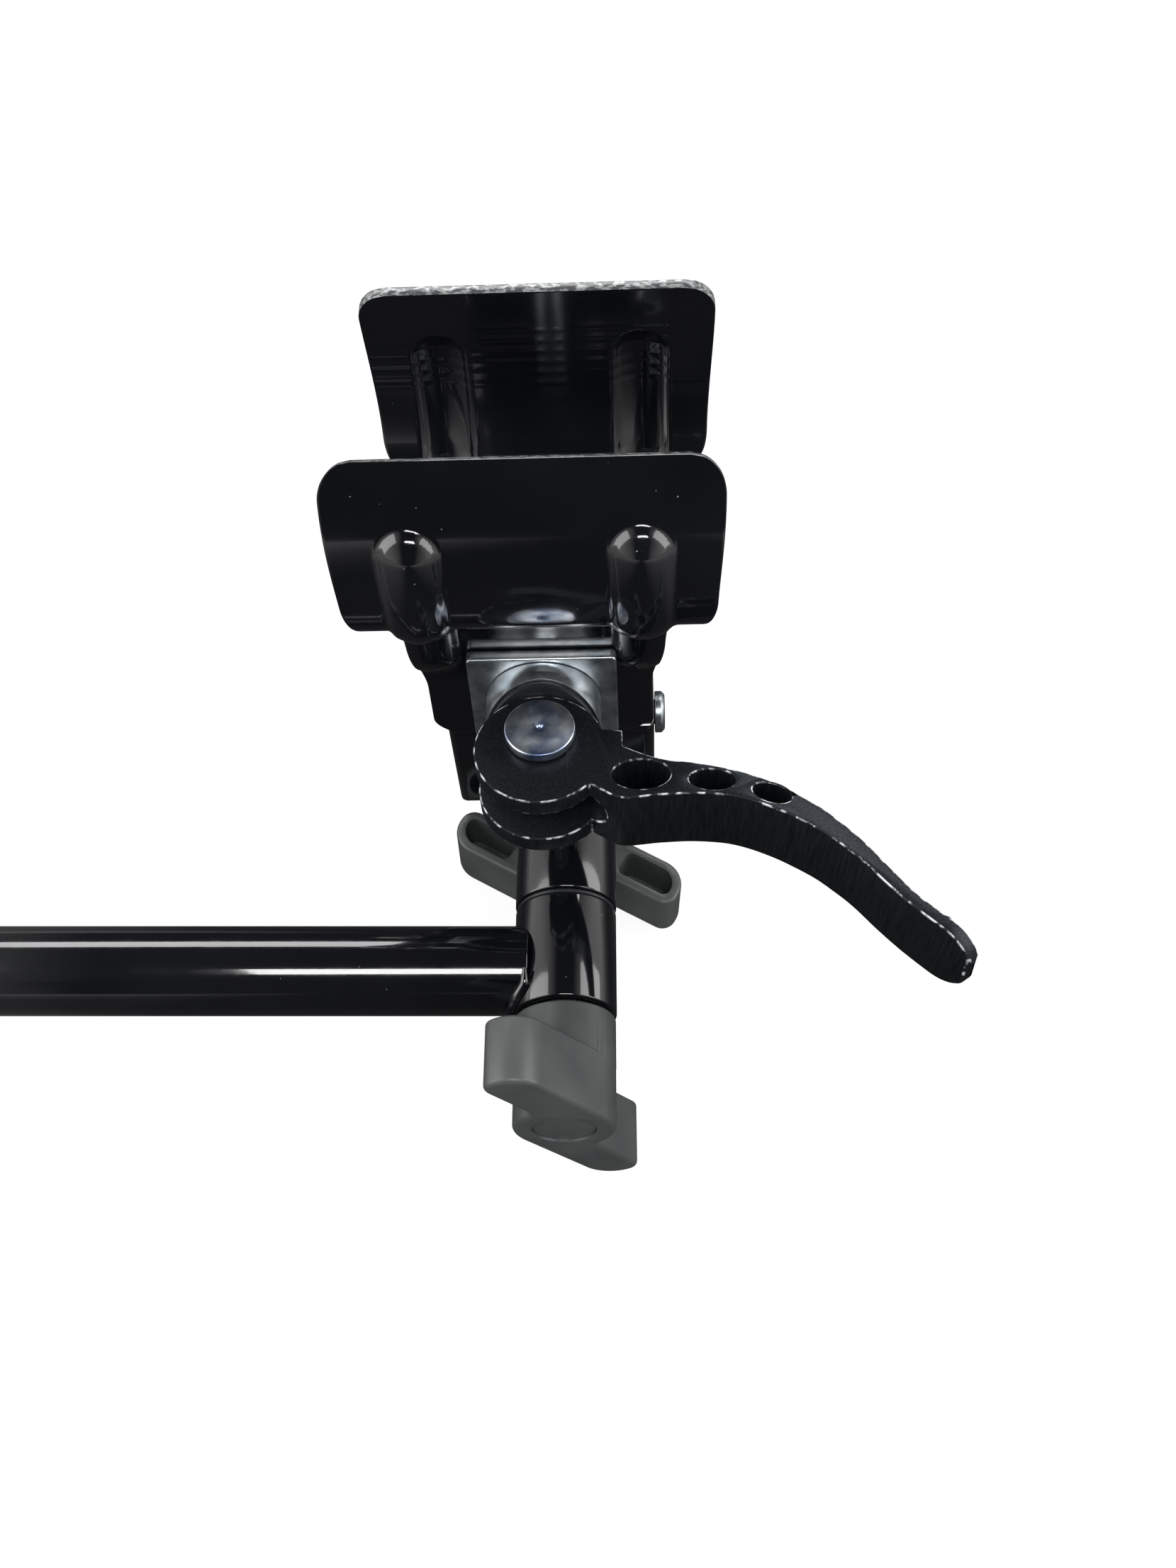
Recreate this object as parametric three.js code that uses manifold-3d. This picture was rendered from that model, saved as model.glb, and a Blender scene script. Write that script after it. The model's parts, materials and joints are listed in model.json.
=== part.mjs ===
// Two-jaw clamp head with a cam lever, on a turning stub carried by a cross sleeve and a round arm.
// Millimetres, +Z up. The origin is the middle of the arm's free end; the arm runs along +X, the
// sleeve and the stub along +Y, and the mouth of the jaws opens upwards.
import * as THREE from 'three';
import { mergeVertices } from 'three/addons/utils/BufferGeometryUtils.js';
import Module from 'manifold-3d';

const wasm = await Module();
wasm.setup();

// ---------------------------------------------------------------- driving dimensions
const GAP = 0.3;                     // clearance between neighbours
const ARM_REACH = 200;               // free end of the arm to the sleeve's axis
const ARM_RADIUS = 10.2;
const ARM_WALL = 1.8;
const ARM_END = -8.3;                // the arm's end, from the sleeve's axis
const SLEEVE_RADIUS = 11.6;
const SLEEVE_BORE = 8.9;
const SLEEVE_START = -11.2;          // along Y, from the arm's axis
const SLEEVE_END = 14.2;
const STUB_RADIUS = 11.7;
const STUB_START = 15.6;
const BRACKET_FRONT = 58;            // front face of the fixed jaw's bracket
const SPIGOT_RADIUS = 8.6;
const SPIGOT_END = 54;
const ROD_RADIUS = 4;

const HEAD_SHIFT = -3.5;             // the bracket sits to one side of the stub's axis
const HEAD_TURN = 2;                 // degrees, about the stub's axis
const HINGE_Y = 71;                  // hinge bolt, on the height of the stub's axis
const MOVING_TILT = 4;               // degrees, how far the moving jaw's arm leans from upright
const MOUTH_LEAN = 11.6;             // degrees, middle of the mouth from upright

// Jaw frame: origin on the cam pin, Y along the cam bolt, Z along the cam pin.
const HINGE_IN = 40.9;               // cam pin to hinge, along the bolt
const HINGE_DOWN = 35.2;             // cam bolt to hinge
const SHEET = 2.4;
const ARM_FACE = 20.4;               // outer face of the jaw's arm
const JAW_HALF = 40;                 // half the jaw's width
const NECK_HALF = 25.2;
const JAW_TOP = 68.3;
const ARM_BOTTOM = -15.5;
const CORNER = 7;
const FIXED_DROP = 9;                // the fixed jaw folds lower down, which makes its blade longer
const MOVING_SHIFT = -1;             // the moving jaw's sheet sits a little to one side of its lugs
const RIB_X = 23.3;
const RIB_HALF = 5.7;
const RIB_LOW = 7;
const RIB_TOP = 55.5;
const RIB_HEIGHT = 2.8;
const LUG_INSIDE = 19.8;             // moving jaw's lugs sit inside the bracket's cheeks
const CHEEK_INSIDE = 22.6;
const HINGE_HOLE = 3.4;

const BOLT_RADIUS = 4;
const BOLT_LENGTH = 112;
const PIN_RADIUS = 4.5;
const PIN_HEAD_RADIUS = 7.6;
const PIN_HEAD = 2.4;
const LEVER_HALF = 9.1;              // half the lever's width along the pin
const EAR = 4.5;                     // thickness of one ear
const EAR_RADIUS = 14.2;
const EAR_OFFSET = -3.56;            // ear circle's centre from the pin: the cam's throw
const GROOVE_RADIUS = 19;            // working face of the saddle's liner
const LINER = 1.2;
const SADDLE_RADIUS = 12.8;
const SADDLE_BASE = 16.94;
const PLATE = 2.9;
const PLATE_HALF_X = 16.5;
const PLATE_HALF_Z = 13.7;
const DRAW = 8;                      // how far the closing lever draws the bolt forwards

const KNOB_RADIUS = 11.3;
const KNOB_COLLAR = 10.6;
const KNOB_LENGTH = 25.6;
const WING_SPAN = 29.5;              // from the axis to a wing's end
const WING_WIDTH = 11.3;
const WING_CORNER = 3.5;             // on the wing's short side
const WING_SWEEP = 7;                // on its long side
const BASE_KNOB_MOUTH = SLEEVE_START - 1;
const SIDE_KNOB_Y = 43.5;

// ---------------------------------------------------------------- materials
function material(color, roughness, metalness) {
  return new THREE.MeshStandardMaterial({ color, roughness, metalness });
}
const GLOSS_BLACK = material('#101214', 0.15, 0.0);
const KNOB_PLASTIC = material('#5a5d59', 0.6, 0.0);
const ZINC = material('#c3ccd4', 0.35, 1.0);
const BLACK_ANODISED = material('#23272c', 0.45, 0.6);
const BLACK_NYLON = material('#15161a', 0.5, 0.0);
const STEEL = material('#8f9396', 0.4, 1.0);

// ---------------------------------------------------------------- solids
function solid(geometry) {
  const bare = geometry.clone();
  bare.deleteAttribute('normal');
  bare.deleteAttribute('uv');
  const merged = mergeVertices(bare, 1e-4);
  return new wasm.Manifold(new wasm.Mesh({
    numProp: 3,
    vertProperties: new Float32Array(merged.attributes.position.array),
    triVerts: new Uint32Array(merged.index.array),
  }));
}

function geometryOf(body) {
  const mesh = body.getMesh();
  const geometry = new THREE.BufferGeometry();
  geometry.setAttribute('position', new THREE.BufferAttribute(mesh.vertProperties, 3));
  geometry.setIndex(new THREE.BufferAttribute(mesh.triVerts, 1));
  geometry.computeVertexNormals();
  return geometry;
}

function join(...geometries) {
  return geometryOf(geometries.map(solid).reduce((a, b) => a.add(b)));
}

function cut(geometry, ...tools) {
  return geometryOf(tools.map(solid).reduce((a, b) => a.subtract(b), solid(geometry)));
}

function common(a, b) {
  return geometryOf(solid(a).intersect(solid(b)));
}

const RADIANS = Math.PI / 180;

// A prism over a shape in the X-Y plane, turned so that it runs along the named axis.
function prism(shape, from, to, axis = 'z', curveSegments = 12) {
  const options = { depth: to - from, bevelEnabled: false, curveSegments };
  const geometry = new THREE.ExtrudeGeometry(shape, options);
  geometry.translate(0, 0, from);
  if (axis === 'x') {
    // shape (y, z) runs along x
    geometry.applyMatrix4(new THREE.Matrix4().makeBasis(
      new THREE.Vector3(0, 1, 0), new THREE.Vector3(0, 0, 1), new THREE.Vector3(1, 0, 0)));
  }
  if (axis === 'y') {
    // shape (x, z) runs along y: the depth is measured along -y, then put back
    geometry.translate(0, 0, -to - from);
    geometry.rotateX(Math.PI / 2);
  }
  return geometry;
}

function polygon(points) {
  return new THREE.Shape(points.map(([a, b]) => new THREE.Vector2(a, b)));
}

// A disc or rod of the given radius between two stations on an axis.
function rod(radius, from, to, axis = 'z', sides = 32) {
  const geometry = new THREE.CylinderGeometry(radius, radius, to - from, sides);
  geometry.translate(0, (from + to) / 2, 0);
  if (axis === 'z') {
    geometry.rotateX(Math.PI / 2);
  }
  if (axis === 'x') {
    geometry.rotateZ(-Math.PI / 2);
  }
  return geometry;
}

// A tube or washer between two stations on an axis.
function ring(outer, inner, from, to, axis = 'z', sides = 32) {
  return cut(rod(outer, from, to, axis, sides), rod(inner, from - 1, to + 1, axis, sides));
}

function block(x0, x1, y0, y1, z0, z1) {
  const geometry = new THREE.BoxGeometry(x1 - x0, y1 - y0, z1 - z0);
  geometry.translate((x0 + x1) / 2, (y0 + y1) / 2, (z0 + z1) / 2);
  return geometry;
}

function moved(geometry, x, y, z) {
  const copy = geometry.clone();
  copy.translate(x, y, z);
  return copy;
}

// Turned about X by an angle in degrees, then moved in the Y-Z plane.
function leaned(geometry, degrees, y, z) {
  const copy = geometry.clone();
  copy.rotateX(degrees * RADIANS);
  copy.translate(0, y, z);
  return copy;
}

function roundedRectangle(halfWidth, low, high, radius) {
  const shape = new THREE.Shape();
  shape.moveTo(-halfWidth + radius, low);
  shape.lineTo(halfWidth - radius, low);
  shape.absarc(halfWidth - radius, low + radius, radius, -Math.PI / 2, 0, false);
  shape.lineTo(halfWidth, high - radius);
  shape.absarc(halfWidth - radius, high - radius, radius, 0, Math.PI / 2, false);
  shape.lineTo(-halfWidth + radius, high);
  shape.absarc(-halfWidth + radius, high - radius, radius, Math.PI / 2, Math.PI, false);
  shape.lineTo(-halfWidth, low + radius);
  shape.absarc(-halfWidth + radius, low + radius, radius, Math.PI, 1.5 * Math.PI, false);
  return shape;
}

// ---------------------------------------------------------------- scene graph
const clampHead = new THREE.Group();
const crossing = new THREE.Group();          // where the arm's and the sleeve's axes meet
crossing.position.x = ARM_REACH;
clampHead.add(crossing);

const head = new THREE.Group();              // everything that turns with the bracket
head.position.x = HEAD_SHIFT;
head.rotation.y = -HEAD_TURN * RADIANS;
crossing.add(head);

// The two jaws lean to either side of the mouth's middle and share the hinge.
function jawPlace(side) {
  const tilt = side > 0 ? -MOVING_TILT : MOVING_TILT - 2 * MOUTH_LEAN;
  const c = Math.cos(tilt * RADIANS);
  const s = Math.sin(tilt * RADIANS);
  const y = side * HINGE_IN;
  const z = -HINGE_DOWN;
  return { tilt, y: HINGE_Y - (y * c - z * s), z: -(y * s + z * c) };
}

const movingPlace = jawPlace(1);
const fixedPlace = jawPlace(-1);
const camFrame = new THREE.Group();          // the jaw frame of the moving jaw
camFrame.position.set(0, movingPlace.y, movingPlace.z);
camFrame.rotation.x = movingPlace.tilt * RADIANS;
head.add(camFrame);

function piece(parent, name, geometry, finish) {
  const mesh = new THREE.Mesh(geometry, finish);
  mesh.name = name;
  parent.add(mesh);
  return mesh;
}

// ---------------------------------------------------------------- arm and sleeve
function armTube() {
  const outer = rod(ARM_RADIUS, -ARM_REACH + 3 + GAP, ARM_END, 'x', 36);
  const bore = rod(ARM_RADIUS - ARM_WALL, -ARM_REACH, 0, 'x', 36);
  return cut(outer, bore, rod(SLEEVE_RADIUS + GAP, -20, 20, 'y', 36));
}

function armEndPlug() {
  const flange = rod(ARM_RADIUS, -ARM_REACH, -ARM_REACH + 3, 'x', 36);
  return join(flange, rod(ARM_RADIUS - ARM_WALL - GAP, -ARM_REACH + 2.5, -ARM_REACH + 14, 'x', 36));
}

// A fillet of weld metal in the corner between the arm and the sleeve, on the side away from the jaws.
function weldBead() {
  const outer = rod(ARM_RADIUS + 2.4, -13.6, -8.5, 'x', 36);
  const cone = cut(outer, rod(ARM_RADIUS + GAP, -20, 0, 'x', 36));
  const ringed = cut(cone, rod(SLEEVE_RADIUS + GAP, -20, 20, 'y', 36));
  return common(ringed, block(-20, 0, -20, -2, -20, 20));
}

piece(crossing, 'arm_tube', armTube(), GLOSS_BLACK);
piece(crossing, 'arm_end_plug', armEndPlug(), BLACK_NYLON);
piece(crossing, 'cross_sleeve', ring(SLEEVE_RADIUS, SLEEVE_BORE, SLEEVE_START, SLEEVE_END, 'y', 36),
  GLOSS_BLACK);
piece(crossing, 'weld_bead', weldBead(), GLOSS_BLACK);

// ---------------------------------------------------------------- spigot inside the sleeve and stub
const spigotBody = rod(SPIGOT_RADIUS, SLEEVE_START + 2, SPIGOT_END, 'y', 32);
piece(crossing, 'spigot', cut(spigotBody, rod(ROD_RADIUS + GAP, -20, 20, 'y', 20)), STEEL);
piece(crossing, 'pivot_rod', rod(ROD_RADIUS, -27, 19, 'y', 20), STEEL);
piece(crossing, 'sleeve_washer', ring(SLEEVE_RADIUS, SPIGOT_RADIUS + GAP,
  SLEEVE_END + GAP, STUB_START - GAP, 'y', 32), BLACK_NYLON);

// ---------------------------------------------------------------- wing knobs
// Plan of the knob: a round hub, and two wings that each run on from the hub along a flat side.
function knobPlan(inset = 0) {
  const hub = KNOB_RADIUS - inset;
  const end = WING_SPAN - inset;
  const width = WING_WIDTH - inset;
  const r = WING_CORNER - inset;
  const sweep = WING_SWEEP - inset;
  const shape = new THREE.Shape();
  shape.moveTo(hub, inset);
  for (const turn of [1, -1]) {
    const start = turn > 0 ? 0 : Math.PI;
    shape.lineTo(turn * (end - r), turn * inset);
    shape.absarc(turn * (end - r), turn * (inset + r), r, start - Math.PI / 2, start, false);
    shape.lineTo(turn * end, turn * (width - sweep));
    shape.absarc(turn * (end - sweep), turn * (width - sweep), sweep, start, start + Math.PI / 2, false);
    shape.lineTo(0, turn * width);
    shape.absarc(0, 0, width, start + Math.PI / 2, start + Math.PI, false);
  }
  // mirrored, so that seen from the closed end each wing's long side lies clockwise of the wing
  return new THREE.Shape(shape.getPoints(5).map((p) => new THREE.Vector2(p.x, -p.y)));
}

// Pocket cored into a wing from the hub's side.
function wingPocket(turn) {
  const wall = 2.4;
  const from = KNOB_RADIUS + 1.2;
  const to = WING_SPAN - wall;
  const shape = roundedRectangle((to - from) / 2, wall - WING_WIDTH, -wall, 2.2);
  const pocket = prism(shape, KNOB_COLLAR - 1, KNOB_LENGTH - 3, 'z', 4);
  pocket.translate((to + from) / 2, 0, 0);
  pocket.rotateZ(turn > 0 ? 0 : Math.PI);
  return pocket;
}

// The knob along +Z from its mouth at 0 to its closed end.
function knobBody() {
  const wings = prism(knobPlan(), KNOB_COLLAR, KNOB_LENGTH - 2, 'z', 5);
  const crown = prism(knobPlan(2), KNOB_LENGTH - 2.2, KNOB_LENGTH, 'z', 5);
  const hub = rod(KNOB_RADIUS, 0, KNOB_COLLAR + 2, 'z', 32);
  const body = join(hub, wings, crown);
  return cut(body, wingPocket(1), wingPocket(-1),
    rod(5.8, -1, 16, 'z', 20),
    rod(7.4, -1, 5, 'z', 24),
    rod(7.2, KNOB_LENGTH - 2.4, KNOB_LENGTH + 1, 'z', 24));
}

const knobInsert = ring(5.5, ROD_RADIUS + GAP, 5.3, 15.7, 'z', 24);
const knobCap = rod(6.9, KNOB_LENGTH - 2.1, KNOB_LENGTH - 0.5, 'z', 32);

// Group whose +Z is a knob's own axis.
function knobGroup(prefix, parent, place) {
  const group = new THREE.Group();
  place(group);
  parent.add(group);
  piece(group, `${prefix}_knob`, knobBody(), KNOB_PLASTIC);
  piece(group, `${prefix}_knob_insert`, knobInsert, ZINC);
  piece(group, `${prefix}_knob_cap`, knobCap, KNOB_PLASTIC);
  return group;
}

const BASE_KNOB_TURN = 127;          // degrees from +X to the first wing
knobGroup('base', crossing, (group) => {
  group.position.y = BASE_KNOB_MOUTH;
  group.rotation.set(Math.PI / 2, 0, 0);
  group.rotateZ(BASE_KNOB_TURN * RADIANS);
});
piece(crossing, 'base_washer', ring(9.6, ROD_RADIUS + GAP,
  BASE_KNOB_MOUTH + GAP, SLEEVE_START - GAP, 'y', 32), BLACK_NYLON);

const SIDE_KNOB_MOUTH = STUB_RADIUS + 1.5;
const SIDE_KNOB_TURN = 30;           // degrees from +X to the first wing
const sideKnob = knobGroup('side', crossing, (group) => {
  group.position.set(0, SIDE_KNOB_Y, -SIDE_KNOB_MOUTH);
  group.rotation.set(Math.PI, 0, 0);
  group.rotateZ(SIDE_KNOB_TURN * RADIANS);
});
piece(sideKnob, 'side_lock_stud', rod(ROD_RADIUS, -SIDE_KNOB_MOUTH + SPIGOT_RADIUS + GAP, 15.6, 'z', 20),
  STEEL);

// ---------------------------------------------------------------- stub
function stubTube() {
  const tube = ring(STUB_RADIUS, SLEEVE_BORE, STUB_START, BRACKET_FRONT - GAP, 'y', 36);
  return cut(tube, moved(rod(ROD_RADIUS + GAP, -20, 0, 'z', 24), 0, SIDE_KNOB_Y, 0));
}

// Threaded boss for the locking stud, welded under the stub and hidden in the knob's mouth.
function lockBoss() {
  const boss = ring(6.6, ROD_RADIUS + GAP, -SIDE_KNOB_MOUTH - 4.2, -STUB_RADIUS + 2.5, 'z', 24);
  boss.translate(0, SIDE_KNOB_Y, 0);
  return cut(boss, rod(STUB_RADIUS + GAP, 20, 60, 'y', 36));
}

piece(crossing, 'head_stub', stubTube(), GLOSS_BLACK);
piece(crossing, 'lock_boss', lockBoss(), STEEL);

// ---------------------------------------------------------------- jaws
// Outer face of a jaw, seen from the side: a straight arm, a fold towards the outside, then a
// long hollow curve up to the tip.
function jawFace(side) {
  const drop = side < 0 ? FIXED_DROP : 0;
  const fold = new THREE.CubicBezierCurve(
    new THREE.Vector2(ARM_FACE, 20 - drop), new THREE.Vector2(ARM_FACE, 27.5 - drop),
    new THREE.Vector2(12.6, 24.5 - drop), new THREE.Vector2(11.9, 32.5 - drop));
  const hollow = new THREE.CubicBezierCurve(
    new THREE.Vector2(11.9, 32.5 - drop), new THREE.Vector2(10.6, 43 - 0.7 * drop),
    new THREE.Vector2(12.6, 54 - 0.3 * drop), new THREE.Vector2(21.6, JAW_TOP));
  return [new THREE.Vector2(ARM_FACE, ARM_BOTTOM), ...fold.getPoints(9),
    ...hollow.getPoints(10).slice(1)];
}

// A strip that follows the jaw's face between two depths, as a prism across the whole width.
function jawBand(side, near, far) {
  const face = jawFace(side);
  const last = face.length - 1;
  const normals = face.map((point, i) => {
    const before = face[Math.max(i - 1, 0)];
    const after = face[Math.min(i + 1, last)];
    const along = after.clone().sub(before).normalize();
    return new THREE.Vector2(along.y, -along.x);
  });
  const offset = (depth) => face.map((p, i) => p.clone().addScaledVector(normals[i], depth));
  const outline = [...offset(near), ...offset(far).reverse()];
  const shape = new THREE.Shape(outline.map((p) => new THREE.Vector2(side * p.x, p.y)));
  return prism(shape, -JAW_HALF - 5, JAW_HALF + 5, 'x');
}

// Front view of a jaw: wide plate with round corners on a narrower neck.
function jawOutline(side) {
  const shape = new THREE.Shape();
  const drop = side < 0 ? FIXED_DROP : 0;
  const shoulder = 31 - drop;
  shape.moveTo(NECK_HALF - 4, ARM_BOTTOM - 1);
  shape.quadraticCurveTo(NECK_HALF, ARM_BOTTOM - 1, NECK_HALF, ARM_BOTTOM + 5);
  shape.lineTo(NECK_HALF, 2 - drop);
  shape.lineTo(NECK_HALF + 3, 15 - drop);
  shape.quadraticCurveTo(NECK_HALF + 3.8, shoulder - 7, NECK_HALF + 6, shoulder - 4);
  shape.quadraticCurveTo(JAW_HALF - 2, shoulder - 2, JAW_HALF - 1.2, shoulder + 7);
  shape.lineTo(JAW_HALF, JAW_TOP - CORNER);
  shape.absarc(JAW_HALF - CORNER, JAW_TOP - CORNER, CORNER, 0, Math.PI / 2, false);
  shape.lineTo(-JAW_HALF + CORNER, JAW_TOP);
  shape.absarc(-JAW_HALF + CORNER, JAW_TOP - CORNER, CORNER, Math.PI / 2, Math.PI, false);
  shape.lineTo(-JAW_HALF + 1.2, shoulder + 7);
  shape.quadraticCurveTo(-JAW_HALF + 2, shoulder - 2, -NECK_HALF - 6, shoulder - 4);
  shape.quadraticCurveTo(-NECK_HALF - 3.8, shoulder - 7, -NECK_HALF - 3, 15 - drop);
  shape.lineTo(-NECK_HALF, 2 - drop);
  shape.lineTo(-NECK_HALF, ARM_BOTTOM + 5);
  shape.quadraticCurveTo(-NECK_HALF, ARM_BOTTOM - 1, -NECK_HALF + 4, ARM_BOTTOM - 1);
  return shape;
}

// A rib runs from the jaw's face over the fold to the top of the neck.
function ribs(side, inset, near, far) {
  const low = RIB_LOW - (side < 0 ? FIXED_DROP : 0);
  const shape = roundedRectangle(
    RIB_HALF - inset, low + inset, RIB_TOP - inset, RIB_HALF - inset - 0.01);
  const front = prism(shape, -60, 60, 'y', 6);
  const pair = join(moved(front, RIB_X, 0, 0), moved(front, -RIB_X, 0, 0));
  return common(jawBand(side, near, far), pair);
}

function jawSheet(side) {
  const sheet = common(jawBand(side, 0, SHEET), prism(jawOutline(side), -60, 60, 'y', 5));
  const ribbed = join(sheet, ribs(side, 0, -RIB_HEIGHT, 0.4));
  return cut(ribbed, ribs(side, SHEET - 0.3, -RIB_HEIGHT + SHEET, SHEET + 0.5));
}

const EYE_RADIUS = 5.9;

// Lug from the moving jaw's arm over the bracket's web and down to the hinge.
function lug(x) {
  const outline = polygon([[ARM_FACE + 1, 9], [ARM_FACE + 1, ARM_BOTTOM + 1], [32, ARM_BOTTOM + 1],
    [34.6, -22], [HINGE_IN - EYE_RADIUS, -HINGE_DOWN], [HINGE_IN + EYE_RADIUS, -HINGE_DOWN],
    [HINGE_IN + EYE_RADIUS, -24]]);
  const plate = prism(outline, x, x + SHEET, 'x');
  return join(plate, moved(rod(EYE_RADIUS, x, x + SHEET, 'x', 28), 0, HINGE_IN, -HINGE_DOWN));
}

const hingeBore = moved(rod(HINGE_HOLE, -40, 40, 'x', 24), 0, HINGE_IN, -HINGE_DOWN);
const boltBore = rod(BOLT_RADIUS + 0.5, 0, BOLT_LENGTH, 'y', 24);

function movingJaw() {
  const body = join(moved(jawSheet(1), MOVING_SHIFT, 0, 0), lug(LUG_INSIDE), lug(-LUG_INSIDE - SHEET));
  return cut(body, hingeBore, boltBore);
}

// Cheek of the bracket, in the head's frame: from the stub's end round the hinge to the rear jaw.
function cheek(x) {
  const outline = polygon([[BRACKET_FRONT + 0.6, -21.6], [73, -21.6], [90, -8], [104.4, 20],
    [108.9, 33.5], [106.8, 35.6], [100.5, 30], [91, 16], [80, 12], [BRACKET_FRONT + 0.6, 12]]);
  return prism(outline, x, x + SHEET, 'x');
}

function fixedJaw() {
  const plate = leaned(jawSheet(-1), fixedPlace.tilt, fixedPlace.y, fixedPlace.z);
  const webShape = roundedRectangle(CHEEK_INSIDE + SHEET, -21.6, 12, 2);
  const web = prism(webShape, BRACKET_FRONT, BRACKET_FRONT + SHEET, 'y', 4);
  const body = join(plate, web, cheek(CHEEK_INSIDE), cheek(-CHEEK_INSIDE - SHEET));
  const slotShape = roundedRectangle(BOLT_RADIUS + 0.6, -10.5, 13, BOLT_RADIUS + 0.55);
  const slot = leaned(prism(slotShape, -40, -10, 'y', 8), fixedPlace.tilt, fixedPlace.y, fixedPlace.z);
  const bore = moved(rod(HINGE_HOLE, -40, 40, 'x', 24), 0, HINGE_Y, 0);
  return cut(body, slot, bore);
}

piece(head, 'fixed_jaw', fixedJaw(), GLOSS_BLACK);
piece(camFrame, 'moving_jaw', movingJaw(), GLOSS_BLACK);

// ---------------------------------------------------------------- hinge
const CHEEK_OUTSIDE = CHEEK_INSIDE + SHEET;
const WASHER = 1;
const CLIP = 1.6;
const inside = LUG_INSIDE - GAP;
const hinge = new THREE.Group();
hinge.position.y = HINGE_Y;
head.add(hinge);

// The pin has a low round head on one side and a clip inside the lug on the other.
const hingeHead = rod(5.2, CHEEK_OUTSIDE + GAP, CHEEK_OUTSIDE + 2.8, 'x', 32);
const hingeShank = rod(3, -CHEEK_OUTSIDE, CHEEK_OUTSIDE + 1, 'x', 24);
piece(hinge, 'hinge_pin', join(hingeShank, hingeHead), ZINC);
piece(hinge, 'hinge_clip', ring(5.6, 3 + GAP, -inside, -inside + CLIP, 'x', 28), STEEL);
piece(hinge, 'hinge_washer_left',
  ring(6.2, 3 + GAP, -inside + CLIP + GAP, -inside + CLIP + GAP + WASHER, 'x', 28), ZINC);
piece(hinge, 'hinge_washer_right', ring(6.2, 3 + GAP, inside - WASHER, inside, 'x', 28), ZINC);
piece(hinge, 'hinge_spacer',
  ring(5, 3 + GAP, -inside + CLIP + WASHER + 2 * GAP, inside - WASHER - GAP, 'x', 28), STEEL);

// ---------------------------------------------------------------- clamp plate, saddle and liner
const boltBoreShort = rod(BOLT_RADIUS + GAP, 0, 40, 'y', 24);

function clampPlate() {
  const shape = roundedRectangle(PLATE_HALF_X, -PLATE_HALF_Z, PLATE_HALF_Z, 1);
  return cut(prism(shape, SADDLE_BASE + GAP, SADDLE_BASE + GAP + PLATE, 'y', 4), boltBoreShort);
}

// The groove runs along the cam pin; its axis lies on the open side of the pin.
const GROOVE_AXIS = EAR_RADIUS + EAR_OFFSET + GAP - GROOVE_RADIUS;

function camSaddle() {
  const drum = rod(SADDLE_RADIUS, 3, SADDLE_BASE, 'y', 36);
  const groove = moved(rod(GROOVE_RADIUS + LINER + GAP, -30, 30, 'z', 72), 0, GROOVE_AXIS, 0);
  return cut(drum, groove, boltBoreShort);
}

function saddleLiner() {
  const drum = rod(SADDLE_RADIUS - 0.6, 3, SADDLE_BASE, 'y', 32);
  const outside = moved(rod(GROOVE_RADIUS + LINER, -30, 30, 'z', 72), 0, GROOVE_AXIS, 0);
  const inside = moved(rod(GROOVE_RADIUS, -40, 40, 'z', 72), 0, GROOVE_AXIS, 0);
  return cut(common(drum, outside), inside, boltBoreShort);
}

piece(camFrame, 'clamp_plate', clampPlate(), ZINC);
piece(camFrame, 'cam_saddle', camSaddle(), ZINC);
piece(camFrame, 'saddle_liner', saddleLiner(), BLACK_NYLON);

// ---------------------------------------------------------------- cam bolt, pin and adjusting nut
function camBolt() {
  const eye = rod(8, -4.3, 4.3, 'z', 32);
  return cut(join(eye, rod(BOLT_RADIUS, 2, BOLT_LENGTH, 'y', 24)), rod(PIN_RADIUS + GAP, -20, 20, 'z', 24));
}

function camPin() {
  const shank = rod(PIN_RADIUS, -LEVER_HALF - 3, LEVER_HALF + 0.6, 'z', 24);
  const top = rod(PIN_HEAD_RADIUS, LEVER_HALF + GAP, LEVER_HALF + GAP + PIN_HEAD, 'z', 40);
  const mark = new THREE.ConeGeometry(0.9, 1, 12);
  mark.rotateX(-Math.PI / 2);
  mark.translate(0, 0, LEVER_HALF + GAP + PIN_HEAD - 0.2);
  return cut(join(shank, top), mark);
}

piece(camFrame, 'cam_bolt', camBolt(), STEEL);
piece(camFrame, 'cam_pin', camPin(), ZINC);
piece(camFrame, 'pin_ring', ring(7, PIN_RADIUS + GAP, -LEVER_HALF - 1.6, -LEVER_HALF - GAP, 'z', 28), STEEL);

const NUT_START = 81.5 + DRAW;       // clear of the fixed jaw's fold by the cam's whole draw
piece(camFrame, 'adjuster_washer', ring(10, BOLT_RADIUS + GAP, NUT_START, NUT_START + 2, 'y', 32), ZINC);

function adjusterNut() {
  const start = NUT_START + 2 + GAP;
  const flange = rod(9, start, start + 2.5, 'y', 32);
  const grip = rod(11.5, start + 2, start + 12, 'y', 6);
  return cut(join(flange, grip), rod(BOLT_RADIUS + GAP, 0, 130, 'y', 24));
}

piece(camFrame, 'adjuster_nut', adjusterNut(), KNOB_PLASTIC);

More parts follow.
